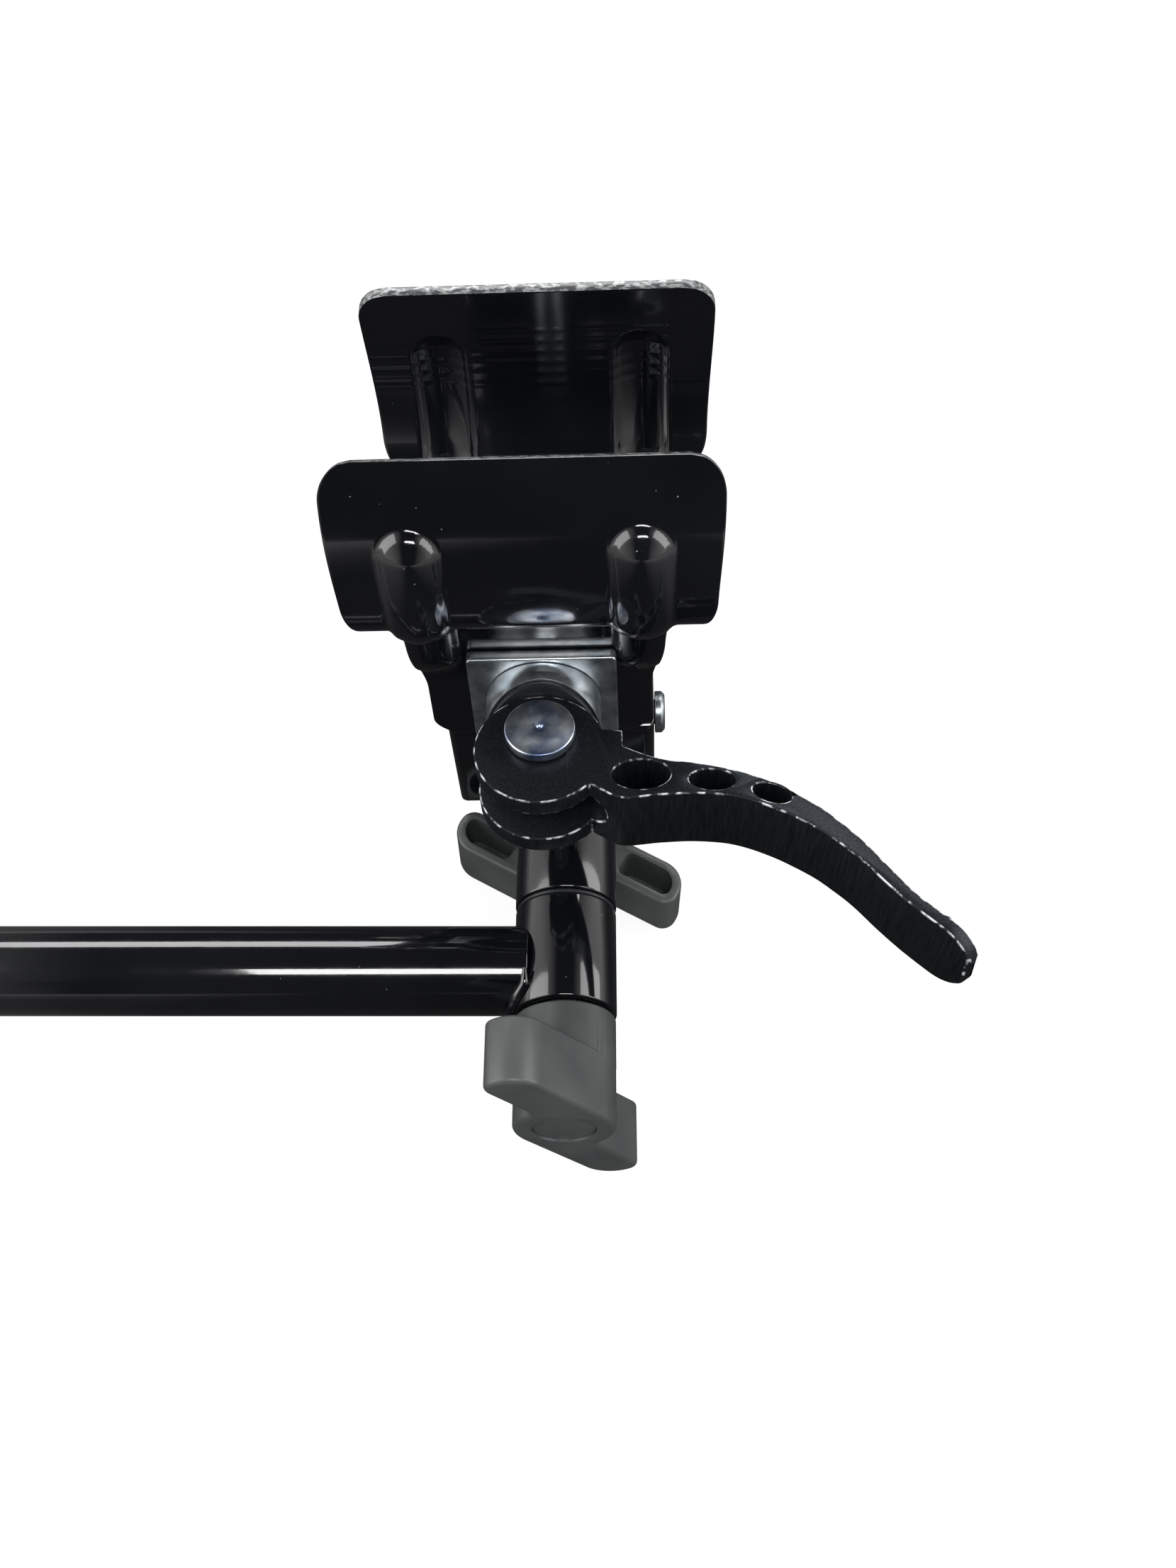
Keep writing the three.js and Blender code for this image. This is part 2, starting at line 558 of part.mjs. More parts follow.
// ---------------------------------------------------------------- cam lever
// Plan of the lever from the pin: a round eccentric ear, then a swept blade that thins to its tip.
const TIP = { x: 86.2, y: -54, turn: -45, round: 8.4 };    // end of the blade's middle line
const BLADE_BACK = [[12.9, -14.6], [17.3, -16.9], [25.3, -16.3], [33.2, -16.1], [41.3, -17.2],
  [49.2, -20.5], [56.8, -25.3], [61, -28.9], [65.3, -33.3], [70.2, -39.5], [75.8, -45.8], [84.4, -54.2]];
const BLADE_FRONT = [[86.8, -52.4], [80.6, -46.6], [75.4, -41.4], [70.8, -35.2], [66.4, -29],
  [62, -23.9], [56.6, -18.8], [49.2, -13.8], [41.8, -10.5], [33.2, -8.2], [25.3, -6.8], [17.6, -3.35]];

function smooth(points, count) {
  const curve = new THREE.SplineCurve(points.map(([a, b]) => new THREE.Vector2(a, b)));
  return curve.getPoints(count);
}

function bladePlan() {
  const back = smooth(BLADE_BACK, 22);
  const front = smooth(BLADE_FRONT, 22);
  return new THREE.Shape([new THREE.Vector2(6, -10), ...back, new THREE.Vector2(86.1, -54), ...front,
    new THREE.Vector2(17.6, 0.9), new THREE.Vector2(6, 0.9)]);
}

const LEVER_HOLES = [                // centre, half length, half width, turn in degrees
  [21.4, -10.9, 6.2, 3.8, 0], [36.3, -12.6, 4.9, 2.6, -4], [48.5, -16.3, 4.2, 2.3, -22]];

function leverHole([x, y, a, b, turn]) {
  const shape = new THREE.Shape();
  shape.absellipse(0, 0, a, b, 0, 2 * Math.PI, false, 0);
  const hole = prism(shape, -20, 20, 'z', 10);
  hole.rotateZ(turn * RADIANS);
  hole.translate(x, y, 0);
  return hole;
}

// What the round corners of the tip take off, for the corner at the given side of the blade.
function tipCorner(side) {
  const { round } = TIP;
  const shape = new THREE.Shape();
  shape.moveTo(-round, LEVER_HALF);
  shape.absarc(-round, LEVER_HALF - round, round, Math.PI / 2, 0, true);
  shape.lineTo(3, LEVER_HALF - round);
  shape.lineTo(3, LEVER_HALF + 2);
  shape.lineTo(-round, LEVER_HALF + 2);
  const tool = prism(shape, -8, 8, 'z', 6);
  tool.rotateX(side * Math.PI / 2);
  tool.rotateZ(TIP.turn * RADIANS);
  tool.translate(TIP.x, TIP.y, 0);
  return tool;
}

function camLever() {
  const ear = moved(rod(EAR_RADIUS, -LEVER_HALF, LEVER_HALF, 'z', 56), 0, EAR_OFFSET, 0);
  const blade = prism(bladePlan(), -LEVER_HALF, LEVER_HALF, 'z', 6);
  const inner = LEVER_HALF - EAR;
  const slotBlock = block(-30, 9, -30, 20, -inner, inner);
  const slotEnd = moved(rod(inner, -30, 30, 'y', 20), 9.4, 0, 0);
  return cut(join(ear, blade), slotBlock, slotEnd, rod(6, -20, 20, 'z', 28),
    ...LEVER_HOLES.map(leverHole), tipCorner(1), tipCorner(-1));
}

piece(camFrame, 'cam_lever', camLever(), BLACK_ANODISED);
const bushEnd = LEVER_HALF - 0.1;
for (const [name, from] of [['ear_bush_upper', bushEnd - EAR + 0.3], ['ear_bush_lower', -bushEnd]]) {
  piece(camFrame, name, ring(5.7, PIN_RADIUS + 0.25, from, from + EAR - 0.3, 'z', 28), STEEL);
}

export default clampHead;
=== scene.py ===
import bmesh
import bpy
import json
from math import cos, hypot, pi, radians, sin, sqrt
from mathutils import Matrix, Vector, noise


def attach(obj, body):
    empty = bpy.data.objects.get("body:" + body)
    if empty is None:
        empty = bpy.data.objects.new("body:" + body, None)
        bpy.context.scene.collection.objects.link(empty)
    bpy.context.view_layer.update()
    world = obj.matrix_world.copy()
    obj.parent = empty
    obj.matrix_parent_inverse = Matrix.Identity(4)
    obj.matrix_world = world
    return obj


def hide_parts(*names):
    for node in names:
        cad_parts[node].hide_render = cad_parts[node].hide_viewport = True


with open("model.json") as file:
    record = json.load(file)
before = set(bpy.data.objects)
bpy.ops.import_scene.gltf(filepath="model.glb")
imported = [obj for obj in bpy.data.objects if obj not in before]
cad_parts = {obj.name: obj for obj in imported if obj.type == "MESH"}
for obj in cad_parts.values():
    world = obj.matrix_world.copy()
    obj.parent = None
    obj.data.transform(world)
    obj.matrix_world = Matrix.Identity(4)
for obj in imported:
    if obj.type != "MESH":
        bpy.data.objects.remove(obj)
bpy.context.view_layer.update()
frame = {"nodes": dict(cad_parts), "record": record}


# ---------------------------------------------------------------- camera
# A plain view from above and in front of the arm, with the mouth of the jaws turned away.
# The camera stands a little under 0.4 m from the crossing of the arm and the sleeve.
joints = {joint["name"]: joint for joint in frame["record"]["behaviour"]["joints"]}
CROSSING = Vector(joints["head_turn"]["pos_m"])
CROSSING.y = 0
CAMERA_TILT = radians(32)
CAMERA_BACK = 0.371
CAMERA_ASIDE = 0.0051
CAMERA_UP = 0.0426

camera_data = bpy.data.cameras.new("camera")
camera_data.lens = 37.4
camera = bpy.data.objects.new("camera", camera_data)
camera_turn = Matrix.Rotation(CAMERA_TILT, 4, "X")
camera.matrix_world = Matrix.Translation(CROSSING) @ camera_turn @ Matrix.Translation(
    (CAMERA_ASIDE, CAMERA_UP, CAMERA_BACK))
bpy.context.scene.collection.objects.link(camera)
bpy.context.scene.camera = camera


# ---------------------------------------------------------------- arm and sleeve
# Two lengths of steel tube: the arm's end is coped to the sleeve and welded to its lower half.
# Both carry a thick, very glossy black powder coat that pulls smooth over the metal.
MM = 0.001
WORLD = Matrix.Scale(MM, 4)
ALONG_X = Matrix.Rotation(pi / 2, 4, "Y")
ALONG_Y = Matrix.Rotation(-pi / 2, 4, "X")
cross = Matrix.Translation(CROSSING) @ WORLD
GAP = 0.3
ARM_REACH = CROSSING.x / MM
ARM_RADIUS = 10.2
ARM_WALL = 1.8
SLEEVE_RADIUS = 11.6
SLEEVE_BORE = 8.9
SLEEVE_START = -11.2
SLEEVE_END = 14.2
STUB_RADIUS = 11.7
STUB_START = 15.6
BRACKET_FRONT = 58
ARM_END = 8.3


def linear(hex_colour):
    """sRGB hex to a linear RGBA colour."""
    channels = [int(hex_colour[i:i + 2], 16) / 255 for i in (1, 3, 5)]
    return (*(c / 12.92 if c <= 0.04045 else ((c + 0.055) / 1.055) ** 2.4 for c in channels), 1)


def add(tree, kind, links=None, **settings):
    """Adds one node: settings name its properties or inputs, links its inputs' sources."""
    node = tree.nodes.new(kind)
    for name, value in settings.items():
        if hasattr(node, name):
            setattr(node, name, value)
        else:
            node.inputs[name.replace("_", " ")].default_value = value
    for name, source in (links or {}).items():
        tree.links.new(source, node.inputs[name])
    return node


def ramp(tree, source, stops):
    """A colour ramp with (position, colour) stops."""
    node = add(tree, "ShaderNodeValToRGB", {"Fac": source})
    elements = node.color_ramp.elements
    while len(elements) < len(stops):
        elements.new(0.5)
    for element, (position, colour) in zip(elements, stops):
        element.position = position
        element.color = colour
    return node.outputs["Color"]


def grey(value):
    return (value, value, value, 1)


def new_material(name, **settings):
    """A material with one principled shader; returns it with its tree, shader and object coordinates."""
    material = bpy.data.materials.new(name)
    material.use_nodes = True
    tree = material.node_tree
    tree.nodes.clear()
    shader = add(tree, "ShaderNodeBsdfPrincipled", **settings)
    add(tree, "ShaderNodeOutputMaterial", {"Surface": shader.outputs["BSDF"]})
    coordinates = add(tree, "ShaderNodeTexCoord").outputs["Object"]
    return material, tree, shader, coordinates


def pattern(tree, coordinates, size_mm, detail=3.0, stretch=(1, 1, 1), turn=(0, 0, 0)):
    """Noise whose grain is about size_mm across."""
    place = add(tree, "ShaderNodeMapping", {"Vector": coordinates}, Rotation=turn, Scale=stretch)
    return add(tree, "ShaderNodeTexNoise", {"Vector": place.outputs["Vector"]},
               Scale=1 / (size_mm * MM), Detail=detail).outputs["Fac"]


def bump(tree, shader, height, distance_mm, strength=1.0, before=None):
    links = {"Height": height}
    if before:
        links["Normal"] = before
    node = add(tree, "ShaderNodeBump", links, Strength=strength, Distance=distance_mm * MM)
    tree.links.new(node.outputs["Normal"], shader.inputs["Normal"])
    return node.outputs["Normal"]


def powder_coat():
    """Gloss black powder coat: mirror-like, with a slight orange peel and settled dust."""
    material, tree, shader, place = new_material(
        "gloss_black_powder_coat", Roughness=0.09, IOR=1.6, Coat_Weight=0.6, Coat_Roughness=0.04)
    cloud = pattern(tree, place, 38)
    colour = ramp(tree, cloud, [(0.35, linear("#06070a")), (0.7, linear("#0d0e12"))])
    dust = pattern(tree, place, 0.9, detail=1)
    specks = ramp(tree, dust, [(0.815, grey(0)), (0.85, grey(1))])
    mix = add(tree, "ShaderNodeMix", {"Factor": specks, "A": colour}, data_type="RGBA")
    mix.inputs[7].default_value = linear("#8a8f92")
    tree.links.new(colour, mix.inputs[6])
    tree.links.new(mix.outputs[2], shader.inputs["Base Color"])
    sheen = pattern(tree, place, 9)
    rough = add(tree, "ShaderNodeMapRange", {"Value": sheen}, To_Min=0.06, To_Max=0.16)
    tree.links.new(rough.outputs["Result"], shader.inputs["Roughness"])
    peel = pattern(tree, place, 1.8, detail=1.5)
    bump(tree, shader, peel, 0.012, 0.6)
    return material


gloss_black = powder_coat()


def sharpen(bm, degrees=32):
    """Smooth faces, with the edges sharper than the angle kept hard."""
    for face in bm.faces:
        face.smooth = True
    for edge in bm.edges:
        edge.smooth = len(edge.link_faces) == 2 and edge.calc_face_angle(0) < radians(degrees)


def soften(bm, width, segments=3, degrees=35, worn=0, clamp=True):
    """Rounds every edge that is sharper than the angle; given a worn slot, the rounding takes that material.
    """
    edges = [e for e in bm.edges if len(e.link_faces) == 2 and e.calc_face_angle(0) > radians(degrees)]
    made = bmesh.ops.bevel(bm, geom=edges, offset=width, offset_type="OFFSET", segments=segments, profile=0.5,
                           affect="EDGES", material=-1, clamp_overlap=clamp)["faces"]
    for face in made:
        face.material_index = worn or face.material_index


def finish(bm, name, place, *materials, recalculate=True):
    """Writes the bmesh, drawn in millimetres, as an object at the origin."""
    bmesh.ops.remove_doubles(bm, verts=bm.verts, dist=1e-4)
    if recalculate:
        bmesh.ops.recalc_face_normals(bm, faces=bm.faces)
    sharpen(bm)
    bmesh.ops.transform(bm, matrix=place, verts=bm.verts)
    mesh = bpy.data.meshes.new(name)
    bm.to_mesh(mesh)
    bm.free()
    for material in materials:
        mesh.materials.append(material)
    piece = bpy.data.objects.new(name, mesh)
    bpy.context.scene.collection.objects.link(piece)
    return piece


def turned(profile, steps=96, closed=True, width=0.0, segments=3):
    """Turns (radius, height) points round Z; a profile that ends on the axis is left open."""
    bm = bmesh.new()
    verts = [bm.verts.new((r, 0, h)) for r, h in profile]
    for a, b in zip(verts, verts[1:]):
        bm.edges.new((a, b))
    if closed:
        bm.edges.new((verts[-1], verts[0]))
    bmesh.ops.spin(bm, geom=bm.verts[:] + bm.edges[:], cent=(0, 0, 0), axis=(0, 0, 1), dvec=(0, 0, 0),
                   angle=2 * pi, steps=steps, use_merge=True, use_duplicate=False)
    bmesh.ops.remove_doubles(bm, verts=bm.verts, dist=1e-4)
    bmesh.ops.recalc_face_normals(bm, faces=bm.faces)
    if width:
        soften(bm, width, segments)
    return bm


def tube(outer, inner, low, high, width=0.3, steps=96):
    return turned([(inner, low), (outer, low), (outer, high), (inner, high)], steps, width=width)


def settle(piece, body, slot_name, *nodes):
    """A finished piece rides on its body and stands for its nodes."""
    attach(piece, body)
    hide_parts(*nodes)


def cope(z):
    """How far the sleeve's surface stands off its own axis, at a height z above the arm's axis."""
    return sqrt(SLEEVE_RADIUS ** 2 - z * z)


arm = tube(ARM_RADIUS, ARM_RADIUS - ARM_WALL, -ARM_REACH + 3 + GAP, -12, 0.35, 128)
for vertex in arm.verts:
    if vertex.co.z > -20:
        # the tube's own X is the height here; top and bottom stop short, and leave the joint open
        vertex.co.z += 12 - max(cope(vertex.co.x) - 0.4, ARM_END)
settle(finish(arm, "cross_arm", cross @ ALONG_X, gloss_black), "arm", "gloss_black", "arm_tube")

sleeve = tube(SLEEVE_RADIUS, SLEEVE_BORE, SLEEVE_START, SLEEVE_END, 0.45)
sleeve = finish(sleeve, "cross_sleeve_tube", cross @ ALONG_Y, gloss_black)
settle(sleeve, "arm", "gloss_black", "cross_sleeve")


# ---------------------------------------------------------------- weld bead
# A hand-laid bead fills the corner between the arm and the sleeve on the knob's side.
# It ripples where each puddle of metal froze, and the powder coat rounds it over.
def weld():
    bm = bmesh.new()
    turns = 72
    rings = []
    for i in range(turns + 1):
        angle = radians(-94 + 163 * i / turns)
        y = -cos(angle) * ARM_RADIUS * 1.03
        z = sin(angle) * ARM_RADIUS * 1.03
        x = -max(cope(z), ARM_END) - 0.6
        puddle = 1.3 + 0.05 * sin(i * 0.8) + 0.14 * noise.noise(Vector((i * 0.25, 0, 0)))
        puddle *= min(1, 5 * i / turns + 0.3, 5 * (1 - i / turns) + 0.3)
        ring = bmesh.ops.create_circle(bm, cap_ends=i in (0, turns), segments=20, radius=puddle)["verts"]
        outward = Vector((0, -cos(angle), sin(angle)))
        forward = Vector((0, sin(angle), cos(angle)))
        basis = Matrix((Vector((-1, 0, 0)), outward, forward)).transposed().to_4x4()
        bmesh.ops.transform(bm, matrix=Matrix.Translation((x, y, z)) @ basis, verts=ring)
        rings.append(ring)
    for a, b in zip(rings, rings[1:]):
        edges = [e for e in bm.edges if all(v in a for v in e.verts) or all(v in b for v in e.verts)]
        bmesh.ops.bridge_loops(bm, edges=edges)
    return bm


settle(finish(weld(), "sleeve_weld", cross, gloss_black), "arm", "gloss_black", "weld_bead")


# ---------------------------------------------------------------- arm end plug
# A moulded nylon plug closes the arm's free end; its edge is rounded like the tube's.
# Unpainted black nylon, satin, with the faint speckle of glass fibre.
def moulded_nylon():
    material, tree, shader, place = new_material("black_nylon", IOR=1.53)
    grain = pattern(tree, place, 0.7)
    colour = ramp(tree, grain, [(0.3, linear("#121316")), (0.75, linear("#1d1f22"))])
    tree.links.new(colour, shader.inputs["Base Color"])
    rough = add(tree, "ShaderNodeMapRange", {"Value": grain}, To_Min=0.35, To_Max=0.55)
    tree.links.new(rough.outputs["Result"], shader.inputs["Roughness"])
    bump(tree, shader, pattern(tree, place, 0.35), 0.01, 0.5)
    return material


black_nylon = moulded_nylon()
plug_bore = ARM_RADIUS - ARM_WALL - GAP
plug = turned([(0, 0), (ARM_RADIUS, 0), (ARM_RADIUS, 3), (plug_bore, 3), (plug_bore, 14), (0, 14)],
              closed=False, width=0.8)
plug_place = cross @ Matrix.Translation((-ARM_REACH, 0, 0)) @ ALONG_X
settle(finish(plug, "arm_plug", plug_place, black_nylon), "arm", "black_nylon", "arm_end_plug")


# ---------------------------------------------------------------- stub
# The turning tube between the sleeve and the clamp, on a nylon washer.
# The same gloss black coat as the sleeve, with a fine dark joint where the two meet.
stub = tube(STUB_RADIUS, SLEEVE_BORE, STUB_START, BRACKET_FRONT - GAP, 0.45)
settle(finish(stub, "head_stub_tube", cross @ ALONG_Y, gloss_black), "head", "gloss_black", "head_stub")

stub_washer = tube(SLEEVE_RADIUS - 0.3, SLEEVE_BORE, SLEEVE_END + GAP, STUB_START - GAP, 0.15)
stub_washer = finish(stub_washer, "stub_washer", cross @ ALONG_Y, black_nylon)
settle(stub_washer, "head", "black_nylon", "sleeve_washer")


# ---------------------------------------------------------------- wing knobs
# Moulded plastic knobs: a round hub, and two wings that each run on from it along a flat side.
# The wings are cored from the hub's side, the closed end is smooth with a round cap let in.
KNOB_RADIUS = 11.3
KNOB_COLLAR = 10.6
KNOB_LENGTH = 25.6
WING_SPAN = 29.5
WING_WIDTH = 11.3
WING_CORNER = 3.6
WING_SWEEP = 7
SIDE_KNOB_Y = 43.5
BASE_KNOB_TURN = radians(127)
SIDE_KNOB_TURN = radians(30)


def spark_textured_plastic():
    """Grey-black ABS from a spark-eroded mould: matte, with a fine even pebble."""
    material, tree, shader, place = new_material("spark_textured_abs", IOR=1.52)
    tone = pattern(tree, place, 14)
    colour = ramp(tree, tone, [(0.3, linear("#383c3c")), (0.7, linear("#434643"))])
    tree.links.new(colour, shader.inputs["Base Color"])
    rough = add(tree, "ShaderNodeMapRange", {"Value": tone}, To_Min=0.32, To_Max=0.42)
    tree.links.new(rough.outputs["Result"], shader.inputs["Roughness"])
    # the real pebble is about 0.1 mm, drawn at 0.45 mm so that it shows
    bump(tree, shader, pattern(tree, place, 0.45, detail=2), 0.03, 0.55)
    return material


knob_plastic = spark_textured_plastic()


def arc(cx, cy, r, start, stop, steps):
    angles = [start + (stop - start) * i / steps for i in range(steps + 1)]
    return [(cx + r * cos(angle), cy + r * sin(angle)) for angle in angles]


def wing_plan():
    """The knob's plan: one wing and half the hub, then the same turned half round."""
    r = WING_CORNER
    half = [(KNOB_RADIUS + 0.25, -0.55), (KNOB_RADIUS + 0.8, -0.1)]
    half += arc(WING_SPAN - r, r, r, -pi / 2, 0, 8)
    half += arc(WING_SPAN - WING_SWEEP, WING_WIDTH - WING_SWEEP, WING_SWEEP, 0, pi / 2, 14)
    half += arc(0, 0, KNOB_RADIUS, pi / 2, pi * 0.96, 24)
    return [(x, -y) for x, y in half] + [(-x, y) for x, y in half]


def slab(points, low, high):
    """A prism along Z over a closed outline."""
    bm = bmesh.new()
    face = bm.faces.new([bm.verts.new((x, y, low)) for x, y in points])
    top = bmesh.ops.extrude_face_region(bm, geom=[face])["geom"]
    raised = [v for v in top if isinstance(v, bmesh.types.BMVert)]
    bmesh.ops.translate(bm, vec=(0, 0, high - low), verts=raised)
    bmesh.ops.recalc_face_normals(bm, faces=bm.faces)
    return bm


def carve(piece, *cutters, operation="DIFFERENCE"):
    """Cuts finished tool objects out of a finished piece one by one, and drops the tools."""
    for cutter in cutters:
        modifier = piece.modifiers.new("carve", "BOOLEAN")
        modifier.operation = operation
        modifier.solver = "EXACT"
        modifier.object = cutter
        bpy.context.view_layer.update()
        shaped = bpy.data.meshes.new_from_object(piece.evaluated_get(bpy.context.evaluated_depsgraph_get()))
        piece.modifiers.clear()
        old = piece.data
        piece.data = shaped
        bpy.data.meshes.remove(old)
        bpy.data.objects.remove(cutter)
    return piece


def rework(piece, width=0.0, segments=3, degrees=35):
    """Rounds the sharp edges of a carved piece, measured in millimetres, and hardens the rest."""
    bm = bmesh.new()
    bm.from_mesh(piece.data)
    bmesh.ops.remove_doubles(bm, verts=bm.verts, dist=2e-6)
    bmesh.ops.dissolve_degenerate(bm, edges=bm.edges, dist=2e-6)
    if width:
        soften(bm, width * MM, segments, degrees)
    sharpen(bm)
    bm.to_mesh(piece.data)
    bm.free()
    return piece


def wing_core(place, turn):
    """The pocket cored into one wing."""
    wall = 2.3
    low, high = KNOB_RADIUS + 1.4, WING_SPAN - wall
    r, sweep = 1.8, WING_SWEEP - wall
    points = arc(high - r, wall + r, r, -pi / 2, 0, 6)
    points += arc(high - sweep, WING_WIDTH - wall - sweep, sweep, 0, pi / 2, 10)
    points += arc(low + r, WING_WIDTH - wall - r, r, pi / 2, pi, 6)
    points += arc(low + r, wall + r, r, pi, 1.5 * pi, 6)
    bm = slab([(x, -y) for x, y in points], KNOB_COLLAR - 2, KNOB_LENGTH - 3.2)
    return finish(bm, "core", place @ Matrix.Rotation(turn, 4, "Z"))


def knob(name, place, body, node):
    wings = slab(wing_plan(), KNOB_COLLAR, KNOB_LENGTH)
    crown = [e for e in wings.edges if all(v.co.z > KNOB_LENGTH - 0.1 for v in e.verts)]
    bmesh.ops.bevel(wings, geom=crown, offset=2.4, offset_type="OFFSET", segments=6, profile=0.5,
                    affect="EDGES", material=-1, clamp_overlap=True)
    rim = [e for e in wings.edges if all(v.co.z < KNOB_COLLAR + 0.1 for v in e.verts)]
    bmesh.ops.bevel(wings, geom=rim, offset=0.9, offset_type="OFFSET", segments=4, profile=0.5,
                    affect="EDGES", material=-1, clamp_overlap=True)
    piece = finish(wings, name, place, knob_plastic)
    collar, top = KNOB_RADIUS + 0.06, KNOB_COLLAR + 1.4
    hub = turned([(0, 0), (collar, 0), (collar, top), (0, top)], closed=False, width=0.6)
    hub = finish(hub, "hub", place)
    carve(piece, hub, operation="UNION")
    mouth = turned([(0, -2), (7.4, -2), (7.4, 5), (5.8, 5), (5.8, 16), (0, 16)], closed=False)
    mouth = finish(mouth, "mouth", place)
    recess = finish(turned([(0, KNOB_LENGTH - 2.4), (7.1, KNOB_LENGTH - 2.4), (7.1, KNOB_LENGTH + 3),
                            (0, KNOB_LENGTH + 3)], closed=False), "recess", place)
    carve(piece, wing_core(place, 0), wing_core(place, pi), mouth, recess)
    rework(piece, 0.35, 2, 50)
    settle(piece, body, "knob_plastic", node)
    cap = turned([(0, KNOB_LENGTH - 2.1), (6.9, KNOB_LENGTH - 2.1), (6.9, KNOB_LENGTH - 0.5),
                  (4, KNOB_LENGTH - 0.38), (0, KNOB_LENGTH - 0.34)], closed=False, width=0.25)
    settle(finish(cap, name + "_end_cap", place, knob_plastic), body, "knob_plastic", node + "_cap")


base_knob_place = (cross @ Matrix.Translation((0, SLEEVE_START - 1, 0)) @ Matrix.Rotation(pi / 2, 4, "X")
                   @ Matrix.Rotation(BASE_KNOB_TURN, 4, "Z"))
knob("base_wing_knob", base_knob_place, "base_knob", "base_knob")
side_knob_place = (cross @ Matrix.Translation((0, SIDE_KNOB_Y, -STUB_RADIUS - 1.5))
                   @ Matrix.Rotation(pi, 4, "X") @ Matrix.Rotation(SIDE_KNOB_TURN, 4, "Z"))
knob("side_wing_knob", side_knob_place, "side_knob", "side_knob")


# ---------------------------------------------------------------- jaws
# Two like pressings of 2.4 mm sheet: a wide hollow jaw, a fold, and a narrower arm. Two ribs are
# pressed outwards over the fold, and grip lines are rolled across the inside of the jaw.
# The coat has rubbed off along the cut top edges, where bright steel shows in specks.
SHEET = 2.4
ARM_FACE = 20.4
JAW_HALF = 40
NECK_HALF = 25.2
JAW_TOP = 68.3
ARM_BOTTOM = -15.5
CORNER = 7
SHOULDER = 31
MOVING_SHIFT = -1
FIXED_DROP = 9
RIB_X = 23.3
RIB_HALF = 5.9
RIB_LOW = 7
RIB_TOP = 55.5
RIB_HEIGHT = 3.1
HINGE_IN = 40.9
HINGE_DOWN = 35.2
HINGE_Y = 71
GRIP_LINES = [42 + 3 * i for i in range(6)]


def worn_cut_edge():
    """Powder coat over a cut edge, chipped through to bright steel in short specks."""
    material, tree, shader, place = new_material("worn_cut_edge", IOR=1.6)
    chips = pattern(tree, place, 0.9, detail=6, stretch=(0.5, 1, 1))
    bare = ramp(tree, chips, [(0.47, grey(0)), (0.66, grey(1))])
    mix = add(tree, "ShaderNodeMix", data_type="RGBA")
    tree.links.new(bare, mix.inputs[0])
    mix.inputs[6].default_value = linear("#3a3c3e")
    mix.inputs[7].default_value = linear("#b4b6b6")
    tree.links.new(mix.outputs[2], shader.inputs["Base Color"])
    tree.links.new(bare, shader.inputs["Metallic"])
    rough = add(tree, "ShaderNodeMapRange", {"Value": bare}, To_Min=0.2, To_Max=0.42)
    tree.links.new(rough.outputs["Result"], shader.inputs["Roughness"])
    bump(tree, shader, chips, 0.05, 0.8)
    return material


cut_edge = worn_cut_edge()


def unit(joint, sign=1):
    return Vector(joints[joint]["axis"]).normalized() * sign


def placed(position, x_axis, y_axis):
    """A frame in millimetres with the given axes."""
    z_axis = x_axis.cross(y_axis)
    return Matrix.Translation(position) @ Matrix((x_axis, y_axis, z_axis)).transposed().to_4x4() @ WORLD


cam = placed(Vector(joints["lever_swing"]["pos_m"]), unit("jaw_close", -1), unit("bolt_draw", -1))
hinge = placed(Vector(joints["jaw_close"]["pos_m"]), unit("jaw_close", -1), Vector((0, 1, 0)))
MOUTH_LEAN = radians(11.6)
MOVING_TILT = radians(4)
fixed = (hinge @ Matrix.Rotation(MOVING_TILT - 2 * MOUTH_LEAN, 4, "X")
         @ Matrix.Translation((0, HINGE_IN, HINGE_DOWN)))


def bezier(points, t):
    a, b, c, d = (Vector(p) for p in points)
    s = 1 - t
    return a * s ** 3 + b * 3 * s * s * t + c * 3 * s * t * t + d * t ** 3


def face_point(t, drop):
    """The jaw's outer face seen from the side, from the arm's foot (0) to the tip (1)."""
    if t < 0.34:
        return Vector((ARM_FACE, ARM_BOTTOM + (20 - drop - ARM_BOTTOM) * t / 0.34))
    fold = [(ARM_FACE, 20 - drop), (ARM_FACE, 27.5 - drop), (12.6, 24.5 - drop), (11.9, 32.5 - drop)]
    if t < 0.52:
        return bezier(fold, (t - 0.34) / 0.18)
    hollow = [fold[3], (10.6, 43 - 0.7 * drop), (12.6, 54 - 0.3 * drop), (21.6, JAW_TOP)]
    return bezier(hollow, (t - 0.52) / 0.48)


def eased(t):
    t = max(0.0, min(1.0, t))
    return t * t * (3 - 2 * t)


def half_width(z, drop):
    """Half the jaw's width at a height: a tapered neck, a flared shoulder, a round corner."""
    foot = 4 * max(0, (ARM_BOTTOM + 5 - z) / 5) ** 2
    neck = NECK_HALF - foot + 3 * eased((z + drop - 1) / 15) + 1.8 * max(0, min(1, (z + drop - 14) / 12)) ** 2
    blade = JAW_HALF - 1.2 + 1.2 * eased((z + drop - SHOULDER - 4) / (26 + drop))
    flare = max(0.0, min(1.0, (z + drop - SHOULDER + 6.5) / 12.5))
    side = neck + (blade - neck) * sqrt(1 - (1 - flare) ** 2) * eased(flare * 3)
    into = max(0, z - JAW_TOP + CORNER)
    return side - CORNER + sqrt(max(0, CORNER ** 2 - into ** 2))


